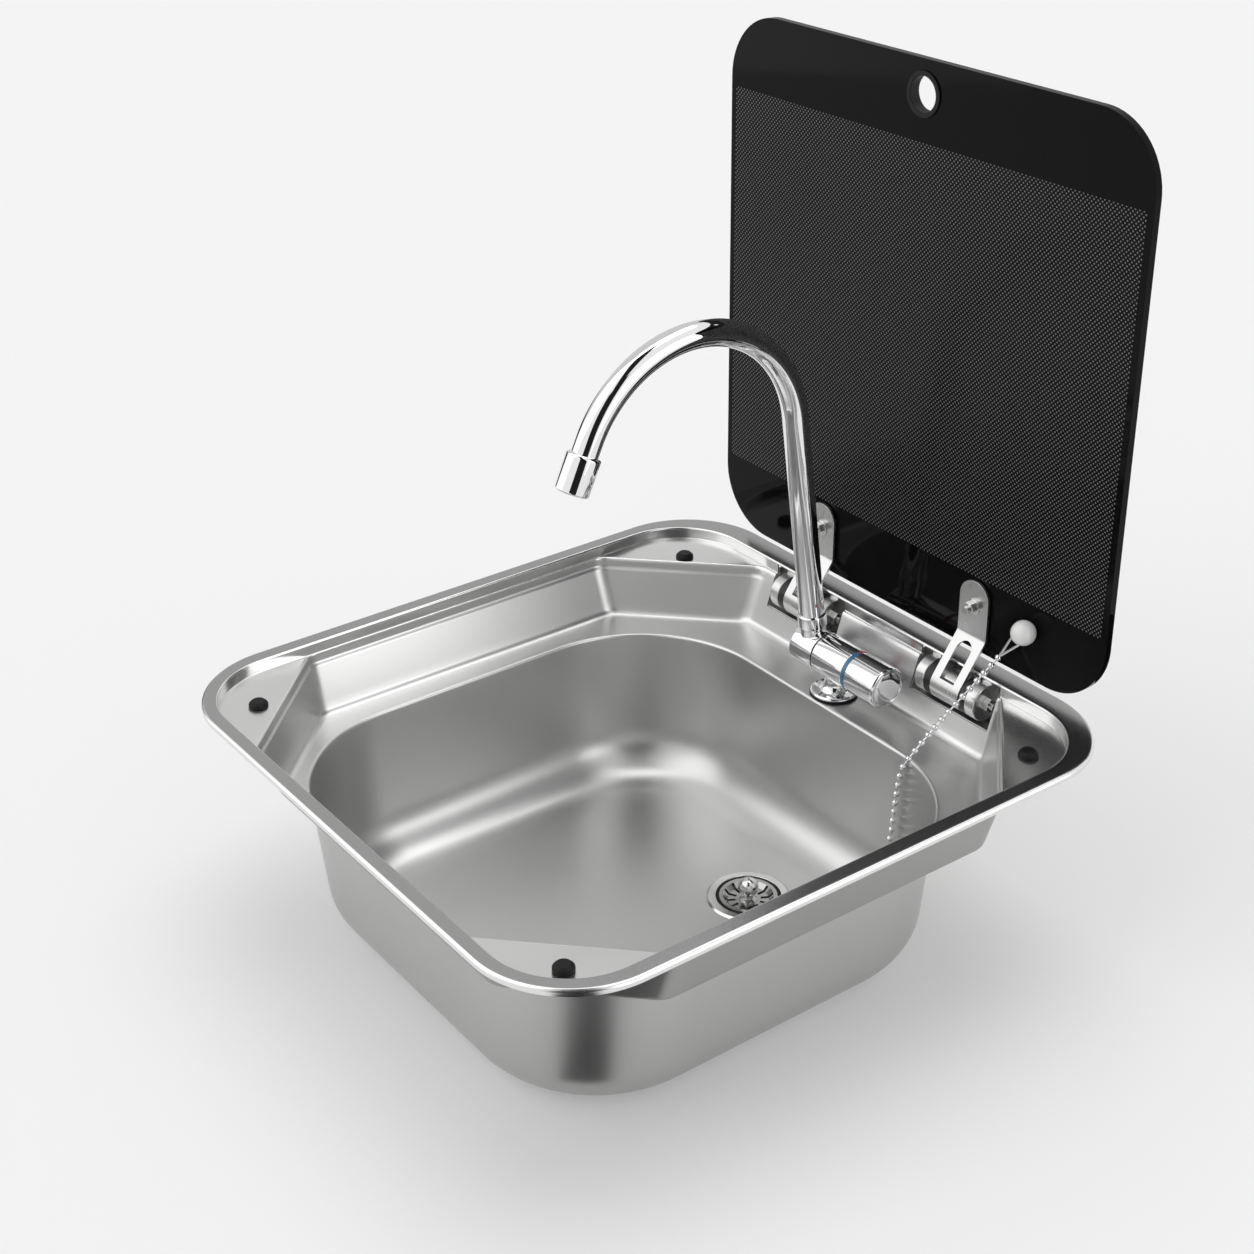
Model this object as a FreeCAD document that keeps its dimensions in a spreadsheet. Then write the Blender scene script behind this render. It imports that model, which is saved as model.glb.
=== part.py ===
import FreeCAD, Part
import math
import os
from types import SimpleNamespace

import Sketcher

# Camper sink: pressed basin with a glass lid, a fold-down tap and a basket waste.
# X runs along the hinge line, Y towards the hinges, Z up. Zero is the middle of the rim
# on the plane of the worktop. Heights called drop are counted down from the top of the rim.

SIZES = {
    # pressed rim and the recess for the lid
    "rim_width": 410,
    "rim_depth": 420,
    "rim_corner": 62,
    "rim_rise": 4,
    "rim_roll": 2.5,
    "sheet_gauge": 1,
    "flange_side": 11.5,
    "flange_front": 10,
    "flange_back": 18,
    "recess_corner": 50,
    "platform_drop": 8,
    "ledge_width": 2,
    # stepped wall and shelf
    "corner_cut": 79,
    "shelf_drop": 47,
    "side_wall_lean": 6,
    "front_wall_lean": 16,
    "back_wall_lean": 12.5,
    "corner_wall_lean": 8,
    # bowl
    "shelf_side": 23.5,
    "shelf_front": 7.5,
    "shelf_back": 33.5,
    "bowl_corner": 90,
    "bowl_drop": 147,
    "bowl_lean": 9,
    "floor_radius": 30,
    "shelf_radius": 3,
    # rim gasket
    "gasket_inset": 1.2,
    "gasket_width": 4,
    # lid bumpers
    "bumper_inset": 10.5,
    "bumper_radius": 6,
    "bumper_height": 4,
    "bumper_stem_radius": 2.4,
    "bumper_foot_radius": 4,
    "bumper_foot_height": 2,
    # waste
    "drain_x": 30,
    "drain_inset": 81,
    "drain_flange_radius": 27,
    "drain_flange_height": 1.6,
    "drain_bore_radius": 20.8,
    "drain_ledge_radius": 19.4,
    "drain_wall": 2.2,
    "drain_depth": 26,
    "drain_outlet_radius": 10.5,
    "waste_gasket_radius": 29,
    "waste_gasket_height": 2,
    "locknut_radius": 31,
    "locknut_height": 8,
    "tail_radius": 12.5,
    "tail_length": 34,
    "tail_flange_radius": 20,
    "tail_flange_height": 4,
    # strainer
    "strainer_radius": 18.6,
    "strainer_gauge": 1.2,
    "strainer_dish": 3,
    "strainer_slot_width": 2,
    "strainer_slot_start": 8,
    "strainer_slot_length": 8,
    "strainer_rim": 2.5,
    "strainer_seal_height": 4,
    "stem_radius": 3,
    "stem_length": 6,
    "strainer_knob_radius": 6.5,
    # tap base, body and its fixing
    "tap_x": -4,
    "tap_inset": 16.5,
    "tap_drop": 22,
    "tap_radius": 14,
    "tap_gasket_height": 1.5,
    "tap_gasket_margin": 0.4,
    "tap_flange_radius": 15.6,
    "tap_flange_height": 2,
    "tap_cone_radius": 11.5,
    "tap_cone_height": 7,
    "tap_neck_radius": 7.6,
    "tap_body_left": 8.5,
    "tap_body_right": 20,
    "tap_bore_radius": 10,
    "shank_radius": 10.5,
    "shank_length": 34,
    "tap_washer_radius": 14.5,
    "tap_washer_height": 2,
    "tap_nut_flats": 27,
    "tap_nut_height": 8,
    "inlet_radius": 3,
    "inlet_spigot_radius": 2.5,
    "inlet_length": 46,
    "inlet_socket": 10,
    "inlet_spacing": 12,
    # colour bands, cartridge, knob
    "band_width": 3,
    "band_wall": 2,
    "cartridge_length": 18,
    "spindle_radius": 4,
    "spindle_length": 20,
    "spindle_socket": 5,
    "knob_length": 26,
    "knob_chamfer": 1.2,
    "knob_cap_radius": 11,
    "knob_cap_height": 1.4,
    # folding spout
    "pivot_length": 22,
    "pivot_seal_width": 1,
    "pivot_spigot_length": 7,
    "boss_radius": 8.4,
    "boss_length": 18,
    "collar_radius": 9.4,
    "collar_length": 9,
    "collar_seat": 4,
    "spout_lean": 7.5,
    "spout_radius": 8.2,
    "spout_wall": 1.2,
    "riser_length": 169,
    "hook_radius": 81,
    "hook_angle": 147,
    "spout_tail": 28,
    "aerator_radius": 10.5,
    "aerator_length": 22,
    "aerator_lip": 1.4,
    # lid glass
    "lid_offset": 6,
    "lid_side_gap": 20.5,
    "lid_shortfall": 70,
    "lid_corner": 42,
    "lid_gauge": 5,
    "lid_lift": 7,
    "finger_drop": 20,
    "grommet_radius": 13.4,
    "grommet_bore_radius": 10.4,
    "grommet_hole_radius": 12,
    "grommet_flange": 1.2,
    # lid brackets and their bolts
    "hinge_side": 102.5,
    "hinge_inset": 20,
    "hinge_drop": 16,
    "leaf_width": 24,
    "leaf_gauge": 2,
    "leaf_lean": 36,
    "leaf_bend": 4,
    "leaf_top": 37.4,
    "leaf_bolt": 20,
    "leaf_slot_width": 12,
    "leaf_slot_reach": 24,
    "band_radius": 12,
    "pad_radius": 8,
    "pad_gauge": 1,
    "bolt_radius": 2.5,
    "bolt_head_radius": 7,
    "bolt_head_height": 3.5,
    "bolt_end": 2.5,
    "washer_radius": 5.5,
    "washer_gauge": 1,
    "nut_flats": 8,
    "nut_height": 4,
    # hinge ears, axles and bushes
    "axle_radius": 2.5,
    "axle_end": 3,
    "friction_washer_gauge": 5.5,
    "ear_width": 8,
    "arm_start": 3,
    "arm_depth": 8,
    "window_gap": 1.5,
    "window_notch": 12,
    "window_drop": 30,
    "cover_gauge": 1,
    "cover_gap": 1,
    # plug chain and its ends
    "chain_radius": 2,
    "ball_radius": 7.8,
    "ball_flat": 1,
    "ball_inset": 57,
    "ball_lift": 40,
    "link_wire_radius": 0.9,
    "link_width": 7,
    "link_reach_x": 16,
    "link_reach_y": 2.5,
    "link_drop": 23,
    "plug_radius": 21,
    "plug_taper": 3,
    "plug_height": 13,
    "plug_eye_radius": 3.4,
    "plug_eye_wire": 1,
    # clearances and overrun
    "running_gap": 0.05,
    "seat_gap": 0.3,
    "cut_overrun": 5,
}

HALF_SHARE = 0.5
CONE_SHARE = 0.36
STRAINER_SLOTS = 12
CORNER_SIGNS = ((-1, -1), (1, -1), (1, 1), (-1, 1))
SIDES = (("left", -1), ("right", 1))

doc = FreeCAD.newDocument("camper_sink")
sheet = doc.addObject("Spreadsheet::Sheet", "sizes")
for row, (alias, value) in enumerate(SIZES.items(), start=1):
    sheet.set(f"A{row}", alias)
    sheet.set(f"B{row}", str(value))
    sheet.setAlias(f"B{row}", alias)
doc.recompute()


class Dim:
    """A size that carries its number together with the sheet formula that gives it."""

    def __init__(self, number, formula):
        self.number = float(number)
        self.formula = formula

    def __add__(self, other):
        other = as_dim(other)
        return Dim(self.number + other.number, f"({self.formula} + {other.formula})")

    def __sub__(self, other):
        other = as_dim(other)
        return Dim(self.number - other.number, f"({self.formula} - {other.formula})")

    def __mul__(self, other):
        other = as_dim(other)
        return Dim(self.number * other.number, f"({self.formula} * {other.formula})")

    def __truediv__(self, other):
        other = as_dim(other)
        return Dim(self.number / other.number, f"({self.formula} / {other.formula})")

    def __neg__(self):
        return Dim(-self.number, f"(-1 * {self.formula})")

    __radd__ = __add__
    __rmul__ = __mul__


def as_dim(value):
    if isinstance(value, Dim):
        return value
    return Dim(value, str(value))


def cosine(angle):
    return Dim(math.cos(math.radians(angle.number)), f"cos({angle.formula} * 1 deg)")


def sine(angle):
    return Dim(math.sin(math.radians(angle.number)), f"sin({angle.formula} * 1 deg)")


size = SimpleNamespace(**{alias: Dim(sheet.get(alias), f"sizes.{alias}") for alias in SIZES})
ZERO = Dim(0, "0")
sub_parts = []


def bind(feature, name, dim):
    feature.setExpression(name, dim.formula)


def new_body(label):
    body = doc.addObject("PartDesign::Body", label)
    body.Label = label
    return body


def hand_in(piece):
    sub_parts.append(piece)
    return piece


def place(piece, x=ZERO, y=ZERO, z=ZERO, axis=None, turn=None):
    if axis is not None:
        rotation = FreeCAD.Rotation(FreeCAD.Vector(*axis), turn.number)
        piece.Placement = FreeCAD.Placement(FreeCAD.Vector(), rotation)
        bind(piece, "Placement.Rotation.Angle", turn)
    for letter, dim in zip("xyz", (x, y, z)):
        bind(piece, f"Placement.Base.{letter}", dim)


def sketch_on(body, role, offset=ZERO):
    plane = next(item for item in body.Origin.OriginFeatures if item.Role == role)
    sketch = body.newObject("Sketcher::SketchObject", f"{body.Name}_sketch")
    sketch.AttachmentSupport = [(plane, "")]
    sketch.MapMode = "FlatFace"
    bind(sketch, "AttachmentOffset.Base.z", offset)
    return sketch


def vector(point):
    return FreeCAD.Vector(point[0].number, point[1].number, 0)


def fix_point(sketch, curve, end, point):
    for kind, dim in zip(("DistanceX", "DistanceY"), point):
        row = sketch.addConstraint(Sketcher.Constraint(kind, -1, 1, curve, end, dim.number))
        sketch.setExpression(f"Constraints[{row}]", dim.formula)


def add_polygon(sketch, points):
    first = sketch.GeometryCount
    count = len(points)
    for index in range(count):
        sketch.addGeometry(Part.LineSegment(vector(points[index]), vector(points[(index + 1) % count])))
    for index in range(count):
        following = first + (index + 1) % count
        sketch.addConstraint(Sketcher.Constraint("Coincident", first + index, 2, following, 1))
        fix_point(sketch, first + index, 1, points[index])


def add_circle(sketch, centre, radius):
    normal = FreeCAD.Vector(0, 0, 1)
    curve = sketch.addGeometry(Part.Circle(vector(centre), normal, radius.number))
    fix_point(sketch, curve, 3, centre)
    row = sketch.addConstraint(Sketcher.Constraint("Radius", curve, radius.number))
    sketch.setExpression(f"Constraints[{row}]", radius.formula)


def add_arc(sketch, before, after, centre, radius, start_turn, end_turn):
    # an arc between the end of one fixed line and the start of the next
    circle = Part.Circle(vector(centre), FreeCAD.Vector(0, 0, 1), radius.number)
    curve = sketch.addGeometry(Part.ArcOfCircle(circle, math.radians(start_turn), math.radians(end_turn)))
    sketch.addConstraint(Sketcher.Constraint("Coincident", before, 2, curve, 1))
    sketch.addConstraint(Sketcher.Constraint("Coincident", curve, 2, after, 1))
    row = sketch.addConstraint(Sketcher.Constraint("Radius", curve, radius.number))
    sketch.setExpression(f"Constraints[{row}]", radius.formula)


def add_line(sketch, start, end):
    curve = sketch.addGeometry(Part.LineSegment(vector(start), vector(end)))
    fix_point(sketch, curve, 1, start)
    fix_point(sketch, curve, 2, end)
    return curve


def rectangle(left, right, low, high):
    return [(left, low), (right, low), (right, high), (left, high)]


def add_rounded_rectangle(sketch, outline, radius):
    left, right, front, back = outline
    lines = [
        add_line(sketch, (left + radius, front), (right - radius, front)),
        add_line(sketch, (right, front + radius), (right, back - radius)),
        add_line(sketch, (right - radius, back), (left + radius, back)),
        add_line(sketch, (left, back - radius), (left, front + radius)),
    ]
    centres = [
        (right - radius, front + radius),
        (right - radius, back - radius),
        (left + radius, back - radius),
        (left + radius, front + radius),
    ]
    quarter = 90
    for index, centre in enumerate(centres):
        start_turn = quarter * (index - 1)
        following = lines[(index + 1) % len(lines)]
        add_arc(sketch, lines[index], following, centre, radius, start_turn, start_turn + quarter)


def grow(outline, amount):
    left, right, front, back = outline
    return (left - amount, right + amount, front - amount, back + amount)


def pad(body, sketch, length, reverse=False):
    feature = body.newObject("PartDesign::Pad", f"{body.Name}_pad")
    feature.Profile = sketch
    bind(feature, "Length", length)
    feature.Reversed = reverse
    return feature


def pocket(body, sketch, length, reverse=False):
    feature = body.newObject("PartDesign::Pocket", f"{body.Name}_pocket")
    feature.Profile = sketch
    bind(feature, "Length", length)
    feature.Reversed = reverse
    return feature


def loft(body, kind, first, second):
    feature = body.newObject(f"PartDesign::{kind}", f"{body.Name}_loft")
    feature.Profile = first
    feature.Sections = [(second, "")]
    feature.Ruled = True
    return feature


def fillet(body, base, radius, wanted):
    doc.recompute()
    names = [f"Edge{number}" for number, edge in enumerate(base.Shape.Edges, start=1) if wanted(edge)]
    feature = body.newObject("PartDesign::Fillet", f"{body.Name}_fillet")
    feature.Base = (base, names)
    bind(feature, "Radius", radius)
    return feature


def turned(label, profile):
    # a body of revolution about its own Z axis, from points of radius and height
    body = new_body(label)
    sketch = sketch_on(body, "XZ_Plane")
    add_polygon(sketch, profile)
    feature = body.newObject("PartDesign::Revolution", f"{label}_turn")
    feature.Profile = sketch
    feature.ReferenceAxis = (sketch, ["V_Axis"])
    feature.Angle = 360
    return body


def ring_profile(inner, outer, low, high):
    return [(inner, low), (outer, low), (outer, high), (inner, high)]


def hexagon(flats):
    # corners of a hexagon from its width across flats
    corner = flats / 2 / cosine(as_dim(30))
    turns = [as_dim(60 * index) for index in range(6)]
    return [(corner * cosine(turn), corner * sine(turn)) for turn in turns]


def hex_nut(label, flats, bore, height):
    body = new_body(label)
    sketch = sketch_on(body, "XY_Plane")
    add_polygon(sketch, hexagon(flats))
    add_circle(sketch, (ZERO, ZERO), bore)
    pad(body, sketch, height)
    return body


def group(label, pieces):
    compound = doc.addObject("Part::Compound", label)
    compound.Label = label
    compound.Links = pieces
    return hand_in(compound)


def lies_at(edge, height, slack=0.01):
    box = edge.BoundBox
    return abs(box.ZMin - height.number) < slack and abs(box.ZMax - height.number) < slack


# Heights and outlines that several pieces share
rim_top = size.rim_rise
platform_z = rim_top - size.platform_drop
shelf_z = rim_top - size.shelf_drop
floor_z = rim_top - size.bowl_drop
flange_under_z = rim_top - size.sheet_gauge
rim_outline = (-size.rim_width / 2, size.rim_width / 2, -size.rim_depth / 2, size.rim_depth / 2)
recess_outline = (
    -size.rim_width / 2 + size.flange_side,
    size.rim_width / 2 - size.flange_side,
    -size.rim_depth / 2 + size.flange_front,
    size.rim_depth / 2 - size.flange_back,
)
wall_top_outline = grow(recess_outline, -size.ledge_width)
wall_foot_outline = (
    wall_top_outline[0] + size.side_wall_lean,
    wall_top_outline[1] - size.side_wall_lean,
    wall_top_outline[2] + size.front_wall_lean,
    wall_top_outline[3] - size.back_wall_lean,
)
bowl_outline = (
    wall_foot_outline[0] + size.shelf_side,
    wall_foot_outline[1] - size.shelf_side,
    wall_foot_outline[2] + size.shelf_front,
    wall_foot_outline[3] - size.shelf_back,
)
bowl_foot_outline = grow(bowl_outline, -size.bowl_lean)
lid_width = recess_outline[1] - recess_outline[0] - size.lid_side_gap * 2
drain_y = bowl_outline[3] - size.drain_inset
tap_y = wall_foot_outline[3] - size.tap_inset
hinge_y = rim_outline[3] - size.hinge_inset
hinge_z = rim_top - size.hinge_drop
lid_height = size.rim_depth - size.lid_shortfall
hinge_reach = lid_width / 2 - size.hinge_side
hinge_centres = {side: size.lid_offset + sign * hinge_reach for side, sign in SIDES}
lid_rest_drop = size.platform_drop - size.bumper_height - size.seat_gap
lid_plane = hinge_y + size.hinge_drop - lid_rest_drop
tap_z = rim_top - size.tap_drop
lid_low_z = rim_top + size.lid_lift


def octagon(outline, cut_front, cut_back):
    left, right, front, back = outline
    return [
        (left + cut_front, front),
        (right - cut_front, front),
        (right, front + cut_front),
        (right, back - cut_back),
        (right - cut_back, back),
        (left + cut_back, back),
        (left, back - cut_back),
        (left, front + cut_front),
    ]


def octagon_sketch(body, height, outline, cut_front, cut_back):
    sketch = sketch_on(body, "XY_Plane", height)
    add_polygon(sketch, octagon(outline, cut_front, cut_back))
    return sketch


def rounded_sketch(body, height, outline, radius):
    sketch = sketch_on(body, "XY_Plane", height)
    add_rounded_rectangle(sketch, outline, radius)
    return sketch


def foot_cut(lean_a, lean_b):
    # the corner wall leans in by its own amount between two walls that lean by theirs
    return size.corner_cut + size.corner_wall_lean * math.sqrt(2) - lean_a - lean_b


def bumper_places():
    # under the corners of the closed lid
    lid_half = lid_width / 2 - size.bumper_inset
    lid_back = hinge_y + hinge_z - lid_low_z
    columns = {-1: size.lid_offset - lid_half, 1: size.lid_offset + lid_half}
    rows = {-1: lid_back - lid_height + size.bumper_inset, 1: lid_back - size.bumper_inset}
    return [(columns[across], rows[along]) for across, along in CORNER_SIGNS]


def on_bowl_edge(edge, height):
    # true for an edge of the bowl's mouth at that height, false for the wider step around it
    box = edge.BoundBox
    left, right, front, back = (dim.number for dim in grow(bowl_outline, size.cut_overrun))
    across = box.XMin > left and box.XMax < right
    along = box.YMin > front and box.YMax < back
    return lies_at(edge, height) and across and along


def build_basin():
    body = new_body("sink_basin")
    gauge = size.sheet_gauge
    # rim with its turned-down edge
    rim = pad(body, rounded_sketch(body, ZERO, rim_outline, size.rim_corner), size.rim_rise)
    rim = fillet(body, rim, size.rim_roll, lambda edge: lies_at(edge, rim_top))
    under = rounded_sketch(body, ZERO, grow(rim_outline, -gauge), size.rim_corner - gauge)
    pocket(body, under, flange_under_z, reverse=True)
    # outsides of the recess, the stepped wall and the bowl
    recess_out = rounded_sketch(
        body, platform_z - gauge, grow(recess_outline, gauge), size.recess_corner + gauge)
    pad(body, recess_out, size.platform_drop)
    cut_front = foot_cut(size.side_wall_lean, size.front_wall_lean)
    cut_back = foot_cut(size.side_wall_lean, size.back_wall_lean)
    wall_out_top = octagon_sketch(
        body, platform_z, grow(wall_top_outline, gauge), size.corner_cut, size.corner_cut)
    wall_out_foot = octagon_sketch(body, shelf_z - gauge, grow(wall_foot_outline, gauge), cut_front, cut_back)
    loft(body, "AdditiveLoft", wall_out_top, wall_out_foot)
    bowl_out_top = rounded_sketch(body, shelf_z, grow(bowl_outline, gauge), size.bowl_corner + gauge)
    foot_corner = size.bowl_corner - size.bowl_lean
    bowl_out_foot = rounded_sketch(body, floor_z - gauge, grow(bowl_foot_outline, gauge), foot_corner + gauge)
    loft(body, "AdditiveLoft", bowl_out_top, bowl_out_foot)
    # insides of the same three
    pocket(body, rounded_sketch(body, platform_z, recess_outline, size.recess_corner),
           size.platform_drop + size.cut_overrun, reverse=True)
    wall_top = octagon_sketch(body, platform_z, wall_top_outline, size.corner_cut, size.corner_cut)
    wall_foot = octagon_sketch(body, shelf_z, wall_foot_outline, cut_front, cut_back)
    loft(body, "SubtractiveLoft", wall_top, wall_foot)
    bowl_top = rounded_sketch(body, shelf_z, bowl_outline, size.bowl_corner)
    bowl_foot = rounded_sketch(body, floor_z, bowl_foot_outline, foot_corner)
    bowl_in = loft(body, "SubtractiveLoft", bowl_top, bowl_foot)
    # the inside is rounded before the outside, so the sheet is never cut through
    floor_in = fillet(body, bowl_in, size.floor_radius, lambda edge: lies_at(edge, floor_z))
    floor_out = fillet(body, floor_in, size.floor_radius + gauge, lambda edge: lies_at(edge, floor_z - gauge))
    roll_out = fillet(
        body, floor_out, size.shelf_radius - gauge, lambda edge: on_bowl_edge(edge, shelf_z - gauge))
    fillet(body, roll_out, size.shelf_radius, lambda edge: on_bowl_edge(edge, shelf_z))
    # windows for the hinges, then the holes
    for side, sign in SIDES:
        middle = hinge_centres[side]
        window = sketch_on(body, "XY_Plane", rim_top - size.window_drop)
        front = hinge_y - size.band_radius - size.cut_overrun
        back = recess_outline[3] + size.window_notch
        add_polygon(window, rectangle(middle - window_half, middle + window_half, front, back))
        pocket(body, window, size.window_drop - size.sheet_gauge, reverse=True)
    holes = sketch_on(body, "XY_Plane", shelf_z + size.cut_overrun)
    add_circle(holes, (size.tap_x, tap_y), size.shank_radius + size.seat_gap)
    pocket(body, holes, size.cut_overrun + size.sheet_gauge + size.cut_overrun)
    drain = sketch_on(body, "XY_Plane", floor_z + size.cut_overrun)
    add_circle(drain, (size.drain_x, drain_y), size.drain_bore_radius + size.drain_wall + size.running_gap)
    pocket(body, drain, size.cut_overrun + size.sheet_gauge + size.cut_overrun)
    stems = sketch_on(body, "XY_Plane", platform_z + size.cut_overrun)
    for point in bumper_places():
        add_circle(stems, point, size.bumper_stem_radius + size.running_gap)
    pocket(body, stems, size.cut_overrun + size.sheet_gauge + size.cut_overrun)
    return hand_in(body)


def build_bumpers():
    under = -size.sheet_gauge
    foot = under - size.bumper_foot_height
    dome = size.bumper_height * HALF_SHARE
    profile = [
        (ZERO, foot),
        (size.bumper_stem_radius, foot),
        (size.bumper_foot_radius, under),
        (size.bumper_stem_radius, under),
        (size.bumper_stem_radius, ZERO),
        (size.bumper_radius, ZERO),
        (size.bumper_radius, dome),
        (size.bumper_foot_radius, size.bumper_height),
        (ZERO, size.bumper_height),
    ]
    pieces = []
    for x, y in bumper_places():
        piece = turned("bumper", profile)
        place(piece, x, y, platform_z)
        pieces.append(piece)
    group("lid_bumpers", pieces)


def build_rim_gasket():
    body = new_body("rim_gasket")
    outer = grow(rim_outline, -size.gasket_inset)
    inner = grow(outer, -size.gasket_width)
    corner = size.rim_corner - size.gasket_inset
    sketch = rounded_sketch(body, ZERO, outer, corner)
    add_rounded_rectangle(sketch, inner, corner - size.gasket_width)
    pad(body, sketch, flange_under_z)
    hand_in(body)


def build_waste():
    outer = size.drain_bore_radius + size.drain_wall
    seat = floor_z
    cup_low = -size.drain_depth
    inside_low = cup_low + size.drain_wall
    under = -size.sheet_gauge
    ledge = size.drain_flange_height - size.strainer_seal_height - size.running_gap
    flange = turned("drain_flange", [
        (size.drain_outlet_radius, cup_low),
        (outer, cup_low),
        (outer, ZERO),
        (size.drain_flange_radius, ZERO),
        (size.drain_flange_radius - size.drain_flange_height, size.drain_flange_height),
        (size.drain_bore_radius, size.drain_flange_height),
        (size.drain_bore_radius, ledge),
        (size.drain_ledge_radius, ledge),
        (size.drain_ledge_radius, inside_low),
        (size.drain_outlet_radius, inside_low),
    ])
    gasket_low = under - size.waste_gasket_height
    bore = outer + size.running_gap
    gasket = turned("waste_gasket", ring_profile(bore, size.waste_gasket_radius, gasket_low, under))
    nut_low = gasket_low - size.locknut_height
    nut = hex_nut("waste_locknut", size.locknut_radius * 2, bore, size.locknut_height)
    tail_top = cup_low
    tail_low = tail_top - size.tail_flange_height
    tail = turned("waste_tailpiece", [
        (size.drain_outlet_radius, tail_low - size.tail_length),
        (size.tail_radius, tail_low - size.tail_length),
        (size.tail_radius, tail_low),
        (size.tail_flange_radius, tail_low),
        (size.tail_flange_radius, tail_top),
        (size.drain_outlet_radius, tail_top),
    ])
    for piece, lift in ((flange, ZERO), (gasket, ZERO), (nut, nut_low), (tail, ZERO)):
        place(piece, size.drain_x, drain_y, seat + lift)
        hand_in(piece)


def build_strainer():
    # a dished plate with radial slots, its seal, stem and ball knob, level with the waste's flange
    top = floor_z + size.drain_flange_height
    gauge = size.strainer_gauge
    edge = size.strainer_radius
    rim = edge - size.strainer_rim
    basket = turned("strainer_basket", [
        (ZERO, -size.strainer_dish - gauge),
        (rim - size.strainer_dish, -size.strainer_dish - gauge),
        (rim, -gauge),
        (edge, -gauge),
        (edge, ZERO),
        (rim, ZERO),
        (rim - size.strainer_dish, -size.strainer_dish),
        (ZERO, -size.strainer_dish),
    ])
    sketch = sketch_on(basket, "XY_Plane", size.cut_overrun)
    half = size.strainer_slot_width / 2
    reach = size.strainer_slot_start + size.strainer_slot_length
    add_polygon(sketch, rectangle(size.strainer_slot_start, reach, -half, half))
    slot = pocket(basket, sketch, size.cut_overrun + size.strainer_dish + size.cut_overrun)
    pattern = basket.newObject("PartDesign::PolarPattern", "strainer_slots")
    pattern.Originals = [slot]
    pattern.Axis = (sketch, ["N_Axis"])
    pattern.Angle = 360
    pattern.Occurrences = STRAINER_SLOTS
    basket.Tip = pattern
    seal_outer = size.drain_bore_radius - size.seat_gap
    seal_low = -size.strainer_seal_height
    seal = turned("strainer_seal", [
        (edge, seal_low),
        (seal_outer, seal_low),
        (seal_outer, ZERO),
        (edge, ZERO),
    ])
    stem_low = -size.strainer_dish
    stem_top = stem_low + size.stem_length
    stem = turned("strainer_stem", [
        (ZERO, stem_low),
        (size.stem_radius * 2, stem_low),
        (size.stem_radius, stem_low + size.stem_radius * HALF_SHARE),
        (size.stem_radius, stem_top),
        (ZERO, stem_top),
    ])
    knob = doc.addObject("Part::Sphere", "strainer_knob_ball")
    bind(knob, "Radius", size.strainer_knob_radius)
    flat = doc.addObject("Part::Box", "knob_seat_cut")
    wide = size.strainer_knob_radius * 2
    for name in ("Length", "Width", "Height"):
        bind(flat, name, wide)
    drop = size.strainer_knob_radius * HALF_SHARE + wide
    place(flat, -size.strainer_knob_radius, -size.strainer_knob_radius, -drop)
    cut = doc.addObject("Part::Cut", "strainer_knob_cut")
    cut.Label = "strainer_knob"
    cut.Base = knob
    cut.Tool = flat
    knob_z = stem_top + size.strainer_knob_radius * HALF_SHARE
    for piece, lift in ((basket, ZERO), (seal, ZERO), (stem, ZERO), (cut, knob_z)):
        place(piece, size.drain_x, drain_y, top + lift)
        hand_in(piece)


def along_x(piece, x, y=None, z=None):
    # turns a body of revolution so that its own Z runs along +X
    place(piece, x, y or tap_y, z or tap_z, axis=(0, 1, 0), turn=as_dim(90))
    return piece


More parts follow.
